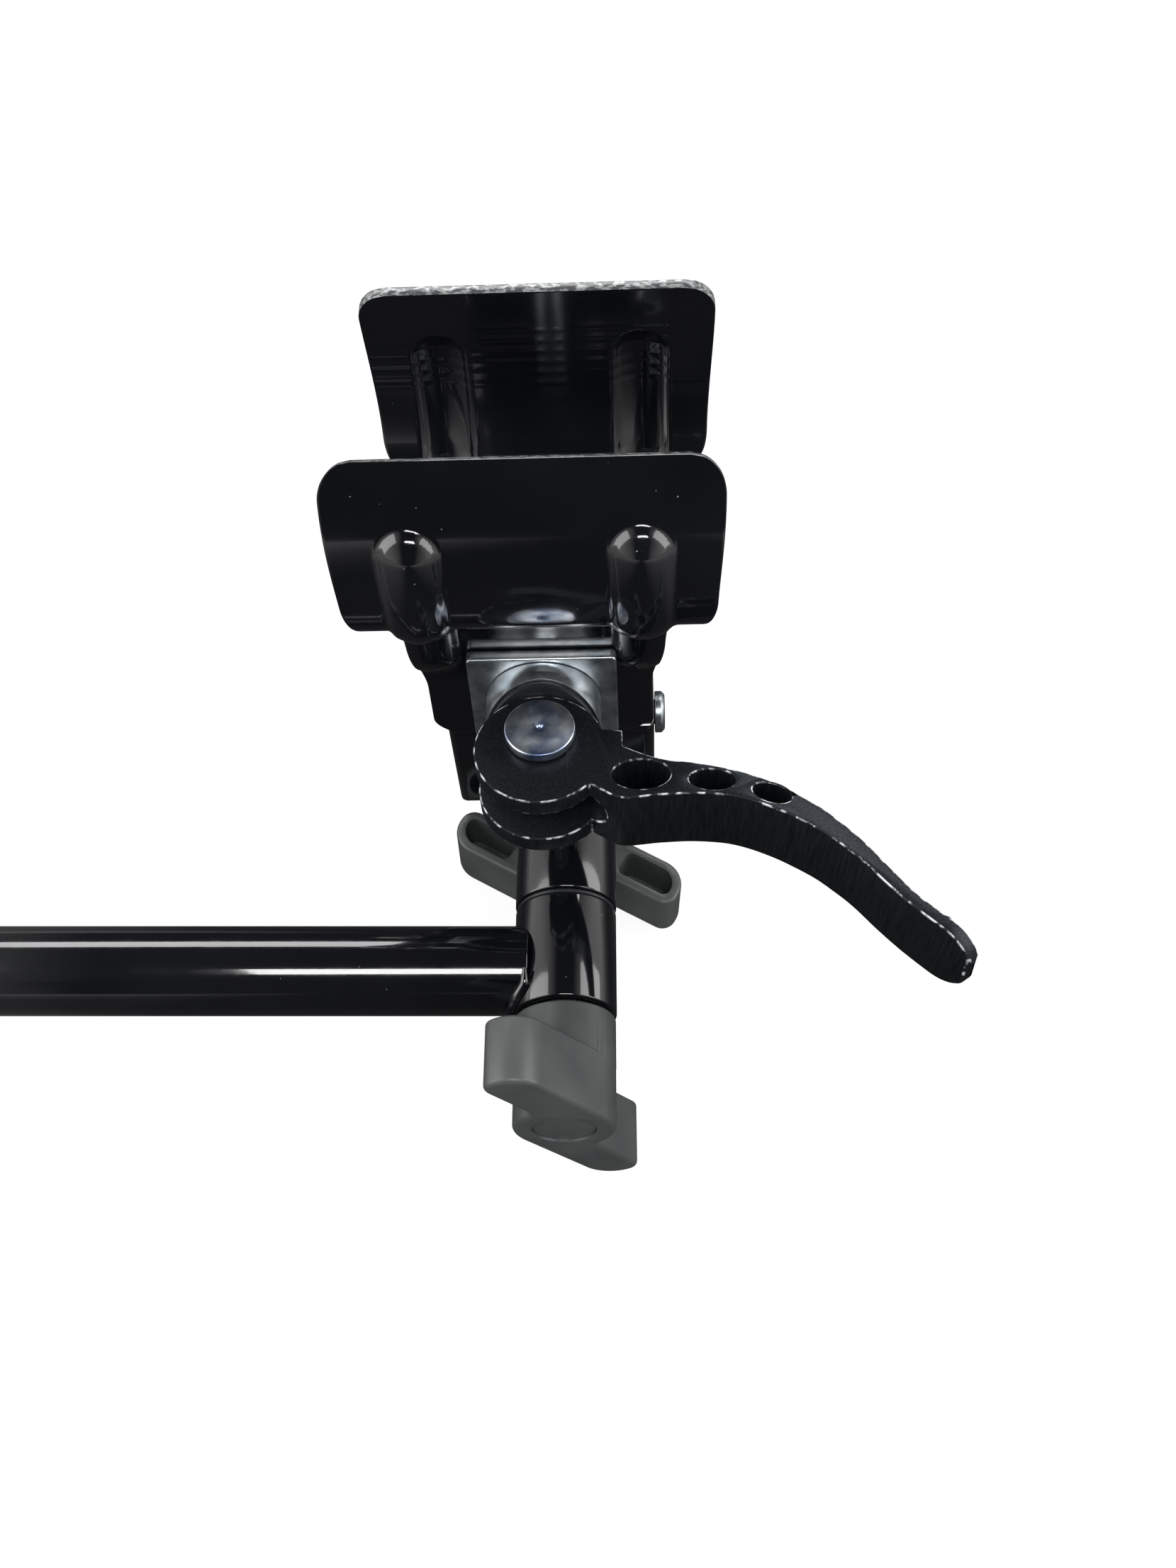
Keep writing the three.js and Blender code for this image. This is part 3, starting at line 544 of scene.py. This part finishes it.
def rib_lift(x, z, drop):
    """How far the face is pressed outwards at a point: a round bead with soft feet."""
    near = max(RIB_LOW - drop + RIB_HALF, min(z, RIB_TOP - RIB_HALF))
    distance = hypot(abs(x) - RIB_X, z - near) / (RIB_HALF + 1.2)
    if distance >= 1:
        return 0.0
    crown = sqrt(max(0, 1 - (distance * 1.06) ** 2)) if distance * 1.06 < 1 else 0.0
    return RIB_HEIGHT * (0.62 * crown + 0.38 * eased(1 - distance)) * eased((1 - distance) * 3.2)


def jaw_sheet(side):
    """The pressing as a doubled grid: outer skin, then a rim, then the inner skin."""
    across, along = 130, 150
    drop = FIXED_DROP if side < 0 else 0
    skins = []
    bm = bmesh.new()
    for inner in (False, True):
        grid = bmesh.ops.create_grid(bm, x_segments=across, y_segments=along, size=0.5)["verts"]
        for vertex in grid:
            u = vertex.co.x * 2
            t = vertex.co.y + 0.5
            # rows close up towards the tip so that the round corners stay smooth
            t = t + 0.10 * sin(pi * t) * t
            here = face_point(min(t, 1), drop)
            ahead = face_point(min(t + 0.004, 1), drop) - face_point(max(t - 0.004, 0), drop)
            normal = Vector((ahead.y, -ahead.x)).normalized()
            x = u * half_width(here.y, drop)
            lift = rib_lift(x, here.y, drop)
            depth = SHEET - 0.9 * lift if inner else -lift
            if inner:
                for line in GRIP_LINES:
                    gap = abs(here.y - line)
                    if gap < 0.6:
                        depth -= 0.1 * (1 - gap / 0.6)
            point = here + normal * depth
            vertex.co = Vector((x + (MOVING_SHIFT if side > 0 else 0), side * point.x, point.y))
        skins.append(grid)
    outline = [e for e in bm.edges if e.is_boundary]
    rim = bmesh.ops.bridge_loops(bm, edges=outline)["faces"]
    for face in rim:
        face.material_index = 1 if face.calc_center_median().z > JAW_TOP - 14 else 0
    bmesh.ops.recalc_face_normals(bm, faces=bm.faces)
    edges = {e for face in rim for e in face.edges if e.calc_face_angle(0) > radians(40)}
    bmesh.ops.bevel(bm, geom=list(edges), offset=0.35, offset_type="OFFSET", segments=2, profile=0.5,
                    affect="EDGES", material=-1, clamp_overlap=True)
    return bm


def plate_yz(points, x, thickness, width=0.4):
    """A flat plate with a (y, z) outline, standing at x."""
    bm = slab(points, x, x + thickness)
    turn = Matrix(((0, 0, 1, 0), (1, 0, 0, 0), (0, 1, 0, 0), (0, 0, 0, 1)))
    bmesh.ops.transform(bm, matrix=turn, verts=bm.verts)
    bmesh.ops.recalc_face_normals(bm, faces=bm.faces)
    soften(bm, width, 3, 40)
    return bm


def rounded(points, radius, steps=5):
    """A polygon with its corners rounded off."""
    result = []
    for i, corner in enumerate(points):
        here = Vector(corner)
        back = Vector(points[i - 1]) - here
        forth = Vector(points[(i + 1) % len(points)]) - here
        reach = min(radius, back.length * 0.45, forth.length * 0.45)
        a, b = here + back.normalized() * reach, here + forth.normalized() * reach
        for k in range(steps + 1):
            t = k / steps
            point = a * (1 - t) ** 2 + here * 2 * t * (1 - t) + b * t * t
            result.append(tuple(point))
    return result


EYE_RADIUS = 5.9
LUG_INSIDE = 19.8
CHEEK_INSIDE = 22.6
HINGE_HOLE = 3.4
lug_outline = rounded([(ARM_FACE + 1, 9), (ARM_FACE + 1, ARM_BOTTOM + 1), (32, ARM_BOTTOM + 1), (34.8, -22),
                       (HINGE_IN - EYE_RADIUS, -HINGE_DOWN),
                       (HINGE_IN - EYE_RADIUS, -HINGE_DOWN - EYE_RADIUS),
                       (HINGE_IN + EYE_RADIUS, -HINGE_DOWN - EYE_RADIUS), (HINGE_IN + EYE_RADIUS, -24)], 5)
cheek_outline = rounded([(BRACKET_FRONT, -21.6), (73, -21.6), (90, -8), (104.4, 20), (108.9, 33.5),
                         (106.8, 35.6), (100.5, 30), (91, 16), (80, 12), (BRACKET_FRONT, 12)], 3)


def merged(bm, *others):
    """Adds other bmeshes to the first as loose shells."""
    for other in others:
        mesh = bpy.data.meshes.new("part")
        other.to_mesh(mesh)
        other.free()
        bm.from_mesh(mesh)
        bpy.data.meshes.remove(mesh)
    return bm


def cylinder_tool(radius, low, high, place, steps=48):
    rod = turned([(0, low), (radius, low), (radius, high), (0, high)], steps, closed=False)
    return finish(rod, "tool", place)


moving_sheet = finish(jaw_sheet(1), "moving_jaw_pressing", cam, gloss_black, cut_edge)
carve(moving_sheet, cylinder_tool(4.5, 5, 40, cam @ ALONG_Y))
settle(rework(moving_sheet), "moving_jaw", "gloss_black", "moving_jaw")

fixed_sheet = finish(jaw_sheet(-1), "fixed_jaw_pressing", fixed, gloss_black, cut_edge)
slot_points = arc(0, 8.4, 4.6, 0, pi, 12) + arc(0, -5.9, 4.6, pi, 2 * pi, 12)
carve(fixed_sheet, finish(slab(slot_points, 10, 40), "tool", fixed @ Matrix.Rotation(pi / 2, 4, "X")))
settle(rework(fixed_sheet), "head", "gloss_black", "fixed_jaw")


# ---------------------------------------------------------------- hinge lugs and bracket
# The moving jaw's two lugs run down inside a channel bracket that is welded to the stub's end.
# The bracket is bent from the same 2.4 mm sheet and its cheeks carry the fixed jaw.
head = hinge @ Matrix.Translation((0, -HINGE_Y, 0))
hinge_axle = hinge @ ALONG_X

lugs = merged(plate_yz(lug_outline, LUG_INSIDE, SHEET), plate_yz(lug_outline, -LUG_INSIDE - SHEET, SHEET))
lugs = finish(lugs, "moving_jaw_lugs", cam, gloss_black)
carve(lugs, cylinder_tool(HINGE_HOLE, -40, 40, hinge_axle))
settle(rework(lugs), "moving_jaw", "gloss_black", "moving_jaw")


def channel_plan():
    """The bracket seen from above: web towards the stub, a bend at each corner, two cheeks."""
    outside = CHEEK_INSIDE + SHEET
    bend = 3.2
    outer = [(outside, 115)] + arc(outside - bend, BRACKET_FRONT + bend, bend, 0, -pi / 2, 8)
    outer += arc(-outside + bend, BRACKET_FRONT + bend, bend, -pi / 2, -pi, 8) + [(-outside, 115)]
    inner = [(-CHEEK_INSIDE, 115)] + arc(-outside + bend, BRACKET_FRONT + bend, bend - SHEET, pi, 1.5 * pi, 5)
    inner += arc(outside - bend, BRACKET_FRONT + bend, bend - SHEET, -pi / 2, 0, 5) + [(CHEEK_INSIDE, 115)]
    return outer + inner


bracket = finish(slab(channel_plan(), -24, 40), "fixed_jaw_bracket", head, gloss_black)
side_view = finish(plate_yz(cheek_outline, -35, 70, 0.01), "tool", head)
carve(bracket, side_view, operation="INTERSECT")
carve(bracket, cylinder_tool(HINGE_HOLE, -40, 40, hinge_axle))
settle(rework(bracket, 0.4, 3, 40), "head", "gloss_black", "fixed_jaw")


# ---------------------------------------------------------------- hinge pin
# A zinc-plated pin with a low round head holds the lugs between the cheeks on a plain spacer tube.
# Inside, two washers and a spring clip take up the play; the plating is bluish and a little cloudy.
def zinc_plate(name, streak=(1, 1, 1), tone=("#a0a9b0", "#e2e7ea")):
    """Bright zinc plating: bluish, clouded, with a fine grain under it that streak can stretch into lines."""
    material, tree, shader, place = new_material(name, Metallic=1.0)
    cloud = pattern(tree, place, 5.5, detail=4)
    colour = ramp(tree, cloud, [(0.32, linear(tone[0])), (0.66, linear(tone[1]))])
    tree.links.new(colour, shader.inputs["Base Color"])
    rough = add(tree, "ShaderNodeMapRange", {"Value": pattern(tree, place, 2.4)}, To_Min=0.2, To_Max=0.42)
    tree.links.new(rough.outputs["Result"], shader.inputs["Roughness"])
    fine = pattern(tree, place, 0.6, detail=2, stretch=streak)
    bump(tree, shader, fine, 0.02, 0.5)
    return material


zinc = zinc_plate("bright_zinc_plate")
pin_zinc = zinc_plate("clouded_zinc_plate", tone=("#7084ab", "#eef3f7"))


def plain_steel():
    """Plain bright-drawn steel, lightly oiled."""
    material, tree, shader, place = new_material("bright_drawn_steel", Metallic=1.0)
    tone = pattern(tree, place, 7)
    colour = ramp(tree, tone, [(0.3, linear("#85898c")), (0.7, linear("#a5a8aa"))])
    tree.links.new(colour, shader.inputs["Base Color"])
    rough = add(tree, "ShaderNodeMapRange", {"Value": tone}, To_Min=0.28, To_Max=0.45)
    tree.links.new(rough.outputs["Result"], shader.inputs["Roughness"])
    bump(tree, shader, pattern(tree, place, 0.8), 0.01, 0.4)
    return material


steel = plain_steel()


CHEEK_OUTSIDE = CHEEK_INSIDE + SHEET
WASHER = 1
CLIP = 1.6
inside = LUG_INSIDE - GAP
pin_profile = [(0, -CHEEK_OUTSIDE), (3, -CHEEK_OUTSIDE), (3, CHEEK_OUTSIDE + GAP), (5.2, CHEEK_OUTSIDE + GAP)]
pin_profile += [(5.2, CHEEK_OUTSIDE + 2), (4.3, CHEEK_OUTSIDE + 2.8), (0, CHEEK_OUTSIDE + 2.9)]
hinge_pin = finish(turned(pin_profile, closed=False, width=0.25), "hinge_cross_pin", hinge_axle, zinc)
settle(hinge_pin, "head", "zinc", "hinge_pin")

for name, node, outer, low, high, metal, slot_name in (
        ("hinge_spring_clip", "hinge_clip", 5.6, -inside, -inside + CLIP, steel, "steel"),
        ("hinge_flat_washer_left", "hinge_washer_left", 6.2,
         -inside + CLIP + GAP, -inside + CLIP + GAP + WASHER, zinc, "zinc"),
        ("hinge_flat_washer_right", "hinge_washer_right", 6.2, inside - WASHER, inside, zinc, "zinc"),
        ("hinge_spacer_tube", "hinge_spacer", 5,
         -inside + CLIP + WASHER + 2 * GAP, inside - WASHER - GAP, steel, "steel")):
    ring = tube(outer, 3.3, low, high, 0.2, 64)
    settle(finish(ring, name, hinge_axle, metal), "head", slot_name, node)


# ---------------------------------------------------------------- clamp plate and saddle
# A square zinc-plated plate spreads the cam's load over the moving jaw's arm.
# On it stands a turned saddle whose groove follows the lever's ears, lined with black nylon.
SADDLE_RADIUS = 12.8
SADDLE_BASE = 16.94
PLATE = 2.9
GROOVE_RADIUS = 19
GROOVE_AXIS = -8.06
LINER = 1.2
BOLT_RADIUS = 4


def square(half_x, half_z, corner):
    points = arc(half_x - corner, half_z - corner, corner, 0, pi / 2, 6)
    points += arc(-half_x + corner, half_z - corner, corner, pi / 2, pi, 6)
    points += arc(-half_x + corner, -half_z + corner, corner, pi, 1.5 * pi, 6)
    return points + arc(half_x - corner, -half_z + corner, corner, 1.5 * pi, 2 * pi, 6)


across_bolt = cam @ ALONG_Y
plate = slab(square(16.5, 13.7, 1.2), SADDLE_BASE + GAP, SADDLE_BASE + GAP + PLATE)
plate = finish(plate, "clamp_square_plate", across_bolt, zinc)
carve(plate, cylinder_tool(BOLT_RADIUS + GAP, 0, 40, across_bolt))
settle(rework(plate, 0.45, 3), "moving_jaw", "zinc", "clamp_plate")


def groove_tool(radius):
    return cylinder_tool(radius, -30, 30, cam @ Matrix.Translation((0, GROOVE_AXIS, 0)), 192)


saddle = finish(turned([(0, 3), (SADDLE_RADIUS, 3), (SADDLE_RADIUS, SADDLE_BASE), (0, SADDLE_BASE)], 128,
                       closed=False), "grooved_saddle", across_bolt, zinc)
carve(saddle, groove_tool(GROOVE_RADIUS + LINER + GAP), cylinder_tool(BOLT_RADIUS + GAP, 0, 40, across_bolt))
settle(rework(saddle, 0.5, 3), "moving_jaw", "zinc", "cam_saddle")

liner_radius = SADDLE_RADIUS - 0.6
liner = turned([(0, 3), (liner_radius, 3), (liner_radius, SADDLE_BASE), (0, SADDLE_BASE)], 128, closed=False)
liner = finish(liner, "saddle_nylon_liner", across_bolt, black_nylon)
carve(liner, groove_tool(GROOVE_RADIUS + LINER), operation="INTERSECT")
carve(liner, groove_tool(GROOVE_RADIUS), cylinder_tool(BOLT_RADIUS + GAP, 0, 40, across_bolt))
settle(rework(liner, 0.15, 2), "moving_jaw", "black_nylon", "saddle_liner")


# ---------------------------------------------------------------- cam pin and bolt
# The lever turns on a zinc-plated pin with a broad head; a steel eye bolt hangs on the same pin
# and runs through both jaws. Its last half is rolled with an M8 thread for the adjusting nut.
LEVER_HALF = 9.1
PIN_RADIUS = 4.5
PIN_HEAD_RADIUS = 7.6
BOLT_END = 112
THREAD_START = 62
PITCH = 1.25

head_low, head_high = LEVER_HALF + GAP, LEVER_HALF + GAP + 2.4
pin = turned([(0, -LEVER_HALF - 3), (PIN_RADIUS, -LEVER_HALF - 3), (PIN_RADIUS, head_low),
              (PIN_HEAD_RADIUS, head_low), (PIN_HEAD_RADIUS, head_high), (0.85, head_high),
              (0, head_high - 0.8)], closed=False, width=0.4)
settle(finish(pin, "cam_pivot_pin", cam, pin_zinc), "draw_bolt", "zinc", "cam_pin")
clip = tube(7, PIN_RADIUS + GAP, -LEVER_HALF - 1.6, -LEVER_HALF - GAP, 0.25, 64)
settle(finish(clip, "cam_pin_ring", cam, steel), "draw_bolt", "steel", "pin_ring")


def thread(low, high):
    """A rolled thread: a cylinder's grid pushed in along a helix."""
    bm = bmesh.new()
    turns = (high - low) / PITCH
    bmesh.ops.create_grid(bm, x_segments=40, y_segments=int(turns * 8), size=0.5)
    for vertex in bm.verts:
        around = (vertex.co.x + 0.5) * 2 * pi
        height = low + (vertex.co.y + 0.5) * (high - low)
        phase = (height / PITCH - (vertex.co.x + 0.5)) % 1
        end = min(1, (high - height) / 1.2, (height - low) / 1.2)
        depth = 0.62 * abs(2 * phase - 1) * end + 0.6 * max(0, 1 - (high - height) / 0.8)
        r = BOLT_RADIUS - depth
        vertex.co = (r * cos(around), r * sin(around), height)
    bmesh.ops.remove_doubles(bm, verts=bm.verts, dist=1e-3)
    bmesh.ops.holes_fill(bm, edges=[e for e in bm.edges if e.is_boundary], sides=0)
    return bm


shank = turned([(0, 2), (BOLT_RADIUS, 2), (BOLT_RADIUS, THREAD_START), (0, THREAD_START)], 48, closed=False)
shank = finish(merged(shank, thread(THREAD_START - 0.01, BOLT_END)), "cam_eye_bolt", across_bolt, steel)
eye = finish(tube(8, PIN_RADIUS + GAP, -4.3, 4.3, 0.6), "cam_bolt_eye", cam, steel)
carve(shank, cylinder_tool(PIN_RADIUS + GAP + 1, -20, 20, cam))
rework(shank)
settle(shank, "draw_bolt", "steel", "cam_bolt")
settle(eye, "draw_bolt", "steel", "cam_bolt")


# ---------------------------------------------------------------- adjusting nut
# A moulded hexagon nut with a flange sets how far the jaws open; a plated washer takes its load.
# It is the knobs' plastic, and hides behind the fixed jaw.
NUT_START = 89.5
seat = tube(10, BOLT_RADIUS + GAP, NUT_START, NUT_START + 2, 0.25, 64)
settle(finish(seat, "adjuster_flat_washer", across_bolt, zinc), "draw_bolt", "zinc", "adjuster_washer")
flange = turned([(0, NUT_START + 2.3), (9, NUT_START + 2.3), (9, NUT_START + 4.8), (0, NUT_START + 4.8)],
                closed=False, width=0.5)
grip = slab([(11.5 * cos(pi * i / 3), 11.5 * sin(pi * i / 3)) for i in range(6)],
            NUT_START + 4.3, NUT_START + 14.3)
soften(grip, 0.8, 4)
adjuster = finish(grip, "adjuster_hex_nut", across_bolt, knob_plastic)
carve(adjuster, finish(flange, "tool", across_bolt), operation="UNION")
carve(adjuster, cylinder_tool(BOLT_RADIUS + GAP, 0, 130, across_bolt))
settle(rework(adjuster), "adjuster", "knob_plastic", "adjuster_nut")


# ---------------------------------------------------------------- cam lever
# The lever is sawn from an aluminium extrusion: two eccentric ears, a slot for the eye bolt, and a
# swept blade with three oval holes. Black anodised, worn bright along its edges.
EAR = 4.5
TIP_ROUND = 8.4
TIP = Vector((86.2, -54, 0))
TIP_TURN = radians(-45)
EAR_RADIUS = 14.2
EAR_OFFSET = -3.56
BLADE_BACK = [(12.9, -14.6), (17.3, -16.9), (25.3, -16.3), (33.2, -16.1), (41.3, -17.2), (49.2, -20.5),
              (56.8, -25.3), (61, -28.9), (65.3, -33.3), (70.2, -39.5), (75.8, -45.8), (84.4, -54.2)]
BLADE_FRONT = [(86.8, -52.4), (80.6, -46.6), (75.4, -41.4), (70.8, -35.2), (66.4, -29), (62, -23.9),
               (56.6, -18.8), (49.2, -13.8), (41.8, -10.5), (33.2, -8.2), (25.3, -6.8), (17.6, -3.35)]
LEVER_HOLES = [(21.4, -10.9, 6.2, 3.8, 0), (36.3, -12.6, 4.9, 2.6, -4), (48.5, -16.3, 4.2, 2.3, -22)]


def black_anodised():
    """Black anodised aluminium: satin, grainy where sawn, drawn lines along the extrusion."""
    material, tree, shader, place = new_material("black_anodised_aluminium", Metallic=0.75)
    lines = pattern(tree, place, 0.5, detail=3, stretch=(1, 1, 0.04))
    grain = pattern(tree, place, 0.5, detail=4)
    colour = ramp(tree, lines, [(0.25, linear("#13161a")), (0.75, linear("#2a2e33"))])
    tree.links.new(colour, shader.inputs["Base Color"])
    rough = add(tree, "ShaderNodeMapRange", {"Value": grain}, To_Min=0.3, To_Max=0.5)
    tree.links.new(rough.outputs["Result"], shader.inputs["Roughness"])
    drawn = bump(tree, shader, lines, 0.03, 0.5)
    bump(tree, shader, grain, 0.04, 0.6, drawn)
    return material


def worn_aluminium():
    """Anodising rubbed through to bright aluminium along an edge."""
    material, tree, shader, place = new_material("rubbed_bright_aluminium", Metallic=0.6)
    wear = pattern(tree, place, 2.2, detail=4)
    colour = ramp(tree, wear, [(0.48, linear("#1f2327")), (0.62, linear("#d3d8db"))])
    tree.links.new(colour, shader.inputs["Base Color"])
    rough = add(tree, "ShaderNodeMapRange", {"Value": wear}, To_Min=0.6, To_Max=0.45)
    tree.links.new(rough.outputs["Result"], shader.inputs["Roughness"])
    return material


anodised = black_anodised()
rubbed = worn_aluminium()


def spline(points, steps=6):
    """A smooth curve through the points."""
    points = [Vector(p) for p in points]
    result = []
    for i in range(len(points) - 1):
        a, b, c, d = points[max(i - 1, 0)], points[i], points[i + 1], points[min(i + 2, len(points) - 1)]
        for k in range(steps):
            t = k / steps
            result.append(tuple(0.5 * (2 * b + (c - a) * t + (2 * a - 5 * b + 4 * c - d) * t * t
                                       + (3 * b - a - 3 * c + d) * t ** 3)))
    return result + [tuple(points[-1])]


blade_plan = [(6, -10)] + spline(BLADE_BACK) + [(86.1, -54)] + spline(BLADE_FRONT) + [(17.6, 0.9), (6, 0.9)]
lever = finish(slab(blade_plan, -LEVER_HALF, LEVER_HALF), "cam_quick_lever", cam, anodised, rubbed)
ear_place = cam @ Matrix.Translation((0, EAR_OFFSET, 0))
carve(lever, cylinder_tool(EAR_RADIUS, -LEVER_HALF, LEVER_HALF, ear_place, 160), operation="UNION")
inner = LEVER_HALF - EAR
slot_plan = [(-30, -inner)] + arc(9.4, 0, inner, -pi / 2, pi / 2, 16) + [(-30, inner)]
slot_cut = finish(slab([(x, -z) for x, z in slot_plan], -30, 30), "tool", across_bolt)
oval_holes = []
for x, y, a, b, turn in LEVER_HOLES:
    oval = slab([(a * cos(pi * i / 24), b * sin(pi * i / 24)) for i in range(48)], -20, 20)
    place = cam @ Matrix.Translation((x, y, 0)) @ Matrix.Rotation(radians(turn), 4, "Z")
    oval_holes.append(finish(oval, "tool", place))
corners = []
for side in (1, -1):
    plan = arc(-TIP_ROUND, LEVER_HALF - TIP_ROUND, TIP_ROUND, pi / 2, 0, 12)
    plan += [(3, LEVER_HALF - TIP_ROUND), (3, LEVER_HALF + 2), (-TIP_ROUND, LEVER_HALF + 2)]
    corner = slab(plan, -8, 8)
    place = (cam @ Matrix.Translation(TIP) @ Matrix.Rotation(TIP_TURN, 4, "Z")
             @ Matrix.Rotation(side * pi / 2, 4, "X"))
    corners.append(finish(corner, "tool", place))
carve(lever, slot_cut, cylinder_tool(6, -20, 20, cam), *oval_holes, *corners)
bm = bmesh.new()
bm.from_mesh(lever.data)
bmesh.ops.remove_doubles(bm, verts=bm.verts, dist=0.15 * MM)
bmesh.ops.dissolve_limit(bm, angle_limit=radians(0.5), verts=bm.verts, edges=bm.edges)
bmesh.ops.holes_fill(bm, edges=[e for e in bm.edges if e.is_boundary], sides=0)
soften(bm, 0.32 * MM, 2, 40, worn=1, clamp=False)
sharpen(bm)
bm.to_mesh(lever.data)
bm.free()
settle(lever, "lever", "black_anodised", "cam_lever")


# ---------------------------------------------------------------- inner pieces
# What stays hidden inside the tubes, knobs and ears is kept from the solid model.
# Each takes the finish of its material: drawn steel, or the knobs' zinc-plated inserts.
finishes = {"gloss_black": gloss_black, "knob_plastic": knob_plastic, "zinc": zinc,
            "black_anodised": anodised, "black_nylon": black_nylon, "steel": steel}
slot_of = {part["node"]: part["material_slot"] for part in frame["record"]["subparts"]}
for name, node in frame["nodes"].items():
    if not node.hide_render:
        node.data.materials.clear()
        node.data.materials.append(finishes[slot_of[name]])


# ---------------------------------------------------------------- floor and light
# A seamless pale sheet under four large soft boxes, in a pale room. Mirrored, both are dim ahead
# and behind and bright to the sides, so the black tubes show two grey bands and a dark strip.
floor_mesh = bpy.data.meshes.new("floor")
floor_bm = bmesh.new()
bmesh.ops.create_grid(floor_bm, x_segments=1, y_segments=1, size=4)
bmesh.ops.translate(floor_bm, vec=(0, 0, -0.0396), verts=floor_bm.verts)
floor_bm.to_mesh(floor_mesh)
floor_bm.free()
floor = bpy.data.objects.new("floor", floor_mesh)
bpy.context.scene.collection.objects.link(floor)
paper, tree, shader, place = new_material("matte_white_paper", Roughness=0.95)
fibre = ramp(tree, pattern(tree, place, 60), [(0.3, linear("#f4f4f3")), (0.7, linear("#fbfbfb"))])
tree.links.new(fibre, shader.inputs["Base Color"])
floor_mesh.materials.append(paper)


def sideways(tree, direction, middle, near, far, dim, bright):
    """A grey that is dim ahead and behind, and brightens to the left and right."""
    across = add(tree, "ShaderNodeSeparateXYZ", {"Vector": direction}).outputs["X"]
    offset = add(tree, "ShaderNodeMath", {0: across}, operation="SUBTRACT")
    offset.inputs[1].default_value = middle
    distance = add(tree, "ShaderNodeMath", {0: offset.outputs["Value"]}, operation="ABSOLUTE")
    return ramp(tree, distance.outputs["Value"], [(near, grey(dim)), (far, grey(bright))])


def mirrored_instead(tree, direct, mirrored):
    """What a glossy surface mirrors, in place of what the camera sees."""
    path = add(tree, "ShaderNodeLightPath").outputs["Is Glossy Ray"]
    choice = add(tree, "ShaderNodeMix", {"Factor": path}, data_type="RGBA")
    choice.inputs[6].default_value = grey(direct)
    tree.links.new(mirrored, choice.inputs[7])
    return choice.outputs[2]


paper_glow = mirrored_instead(tree, 1.0, sideways(tree, place, CROSSING.x, 0.1, 0.5, 0.03, 0.55))
glow = add(tree, "ShaderNodeEmission", {"Color": paper_glow}, Strength=1.0)
paper_share = mirrored_instead(tree, 0.9, ramp(tree, place, [(0.0, grey(1)), (1.0, grey(1))]))
paper_shade = add(tree, "ShaderNodeMixShader", {0: paper_share, 1: shader.outputs["BSDF"],
                                                2: glow.outputs["Emission"]})
paper_output = [node for node in tree.nodes if node.type == "OUTPUT_MATERIAL"][0]
tree.links.new(paper_shade.outputs["Shader"], paper_output.inputs["Surface"])


def soft_box(name, position, width, height, power):
    light = bpy.data.lights.new(name, "AREA")
    light.shape = "RECTANGLE"
    light.size, light.size_y, light.energy = width, height, power
    box = bpy.data.objects.new(name, light)
    aim = (CROSSING + Vector((0, 0.04, 0.02)) - Vector(position)).to_track_quat("-Z", "Y")
    box.matrix_world = Matrix.Translation(position) @ aim.to_matrix().to_4x4()
    bpy.context.scene.collection.objects.link(box)


soft_box("back_box", (0.15, 0.8, 0.75), 1.1, 0.3, 6)
soft_box("front_box", (0.25, -0.5, 1.0), 0.5, 0.25, 5)
soft_box("right_box", (0.95, 0.0, 0.5), 0.7, 0.8, 5)
soft_box("left_box", (-0.6, -0.05, 0.5), 0.7, 0.8, 4.5)
world = bpy.data.worlds.new("dim_room")
world.use_nodes = True
tree = world.node_tree
direction = add(tree, "ShaderNodeTexCoord").outputs["Generated"]
room = mirrored_instead(tree, 1.0, sideways(tree, direction, 0, 0.3, 0.75, 0.03, 0.9))
tree.links.new(room, tree.nodes["Background"].inputs["Color"])
bpy.context.scene.world = world
bpy.context.scene.view_settings.view_transform = "Standard"
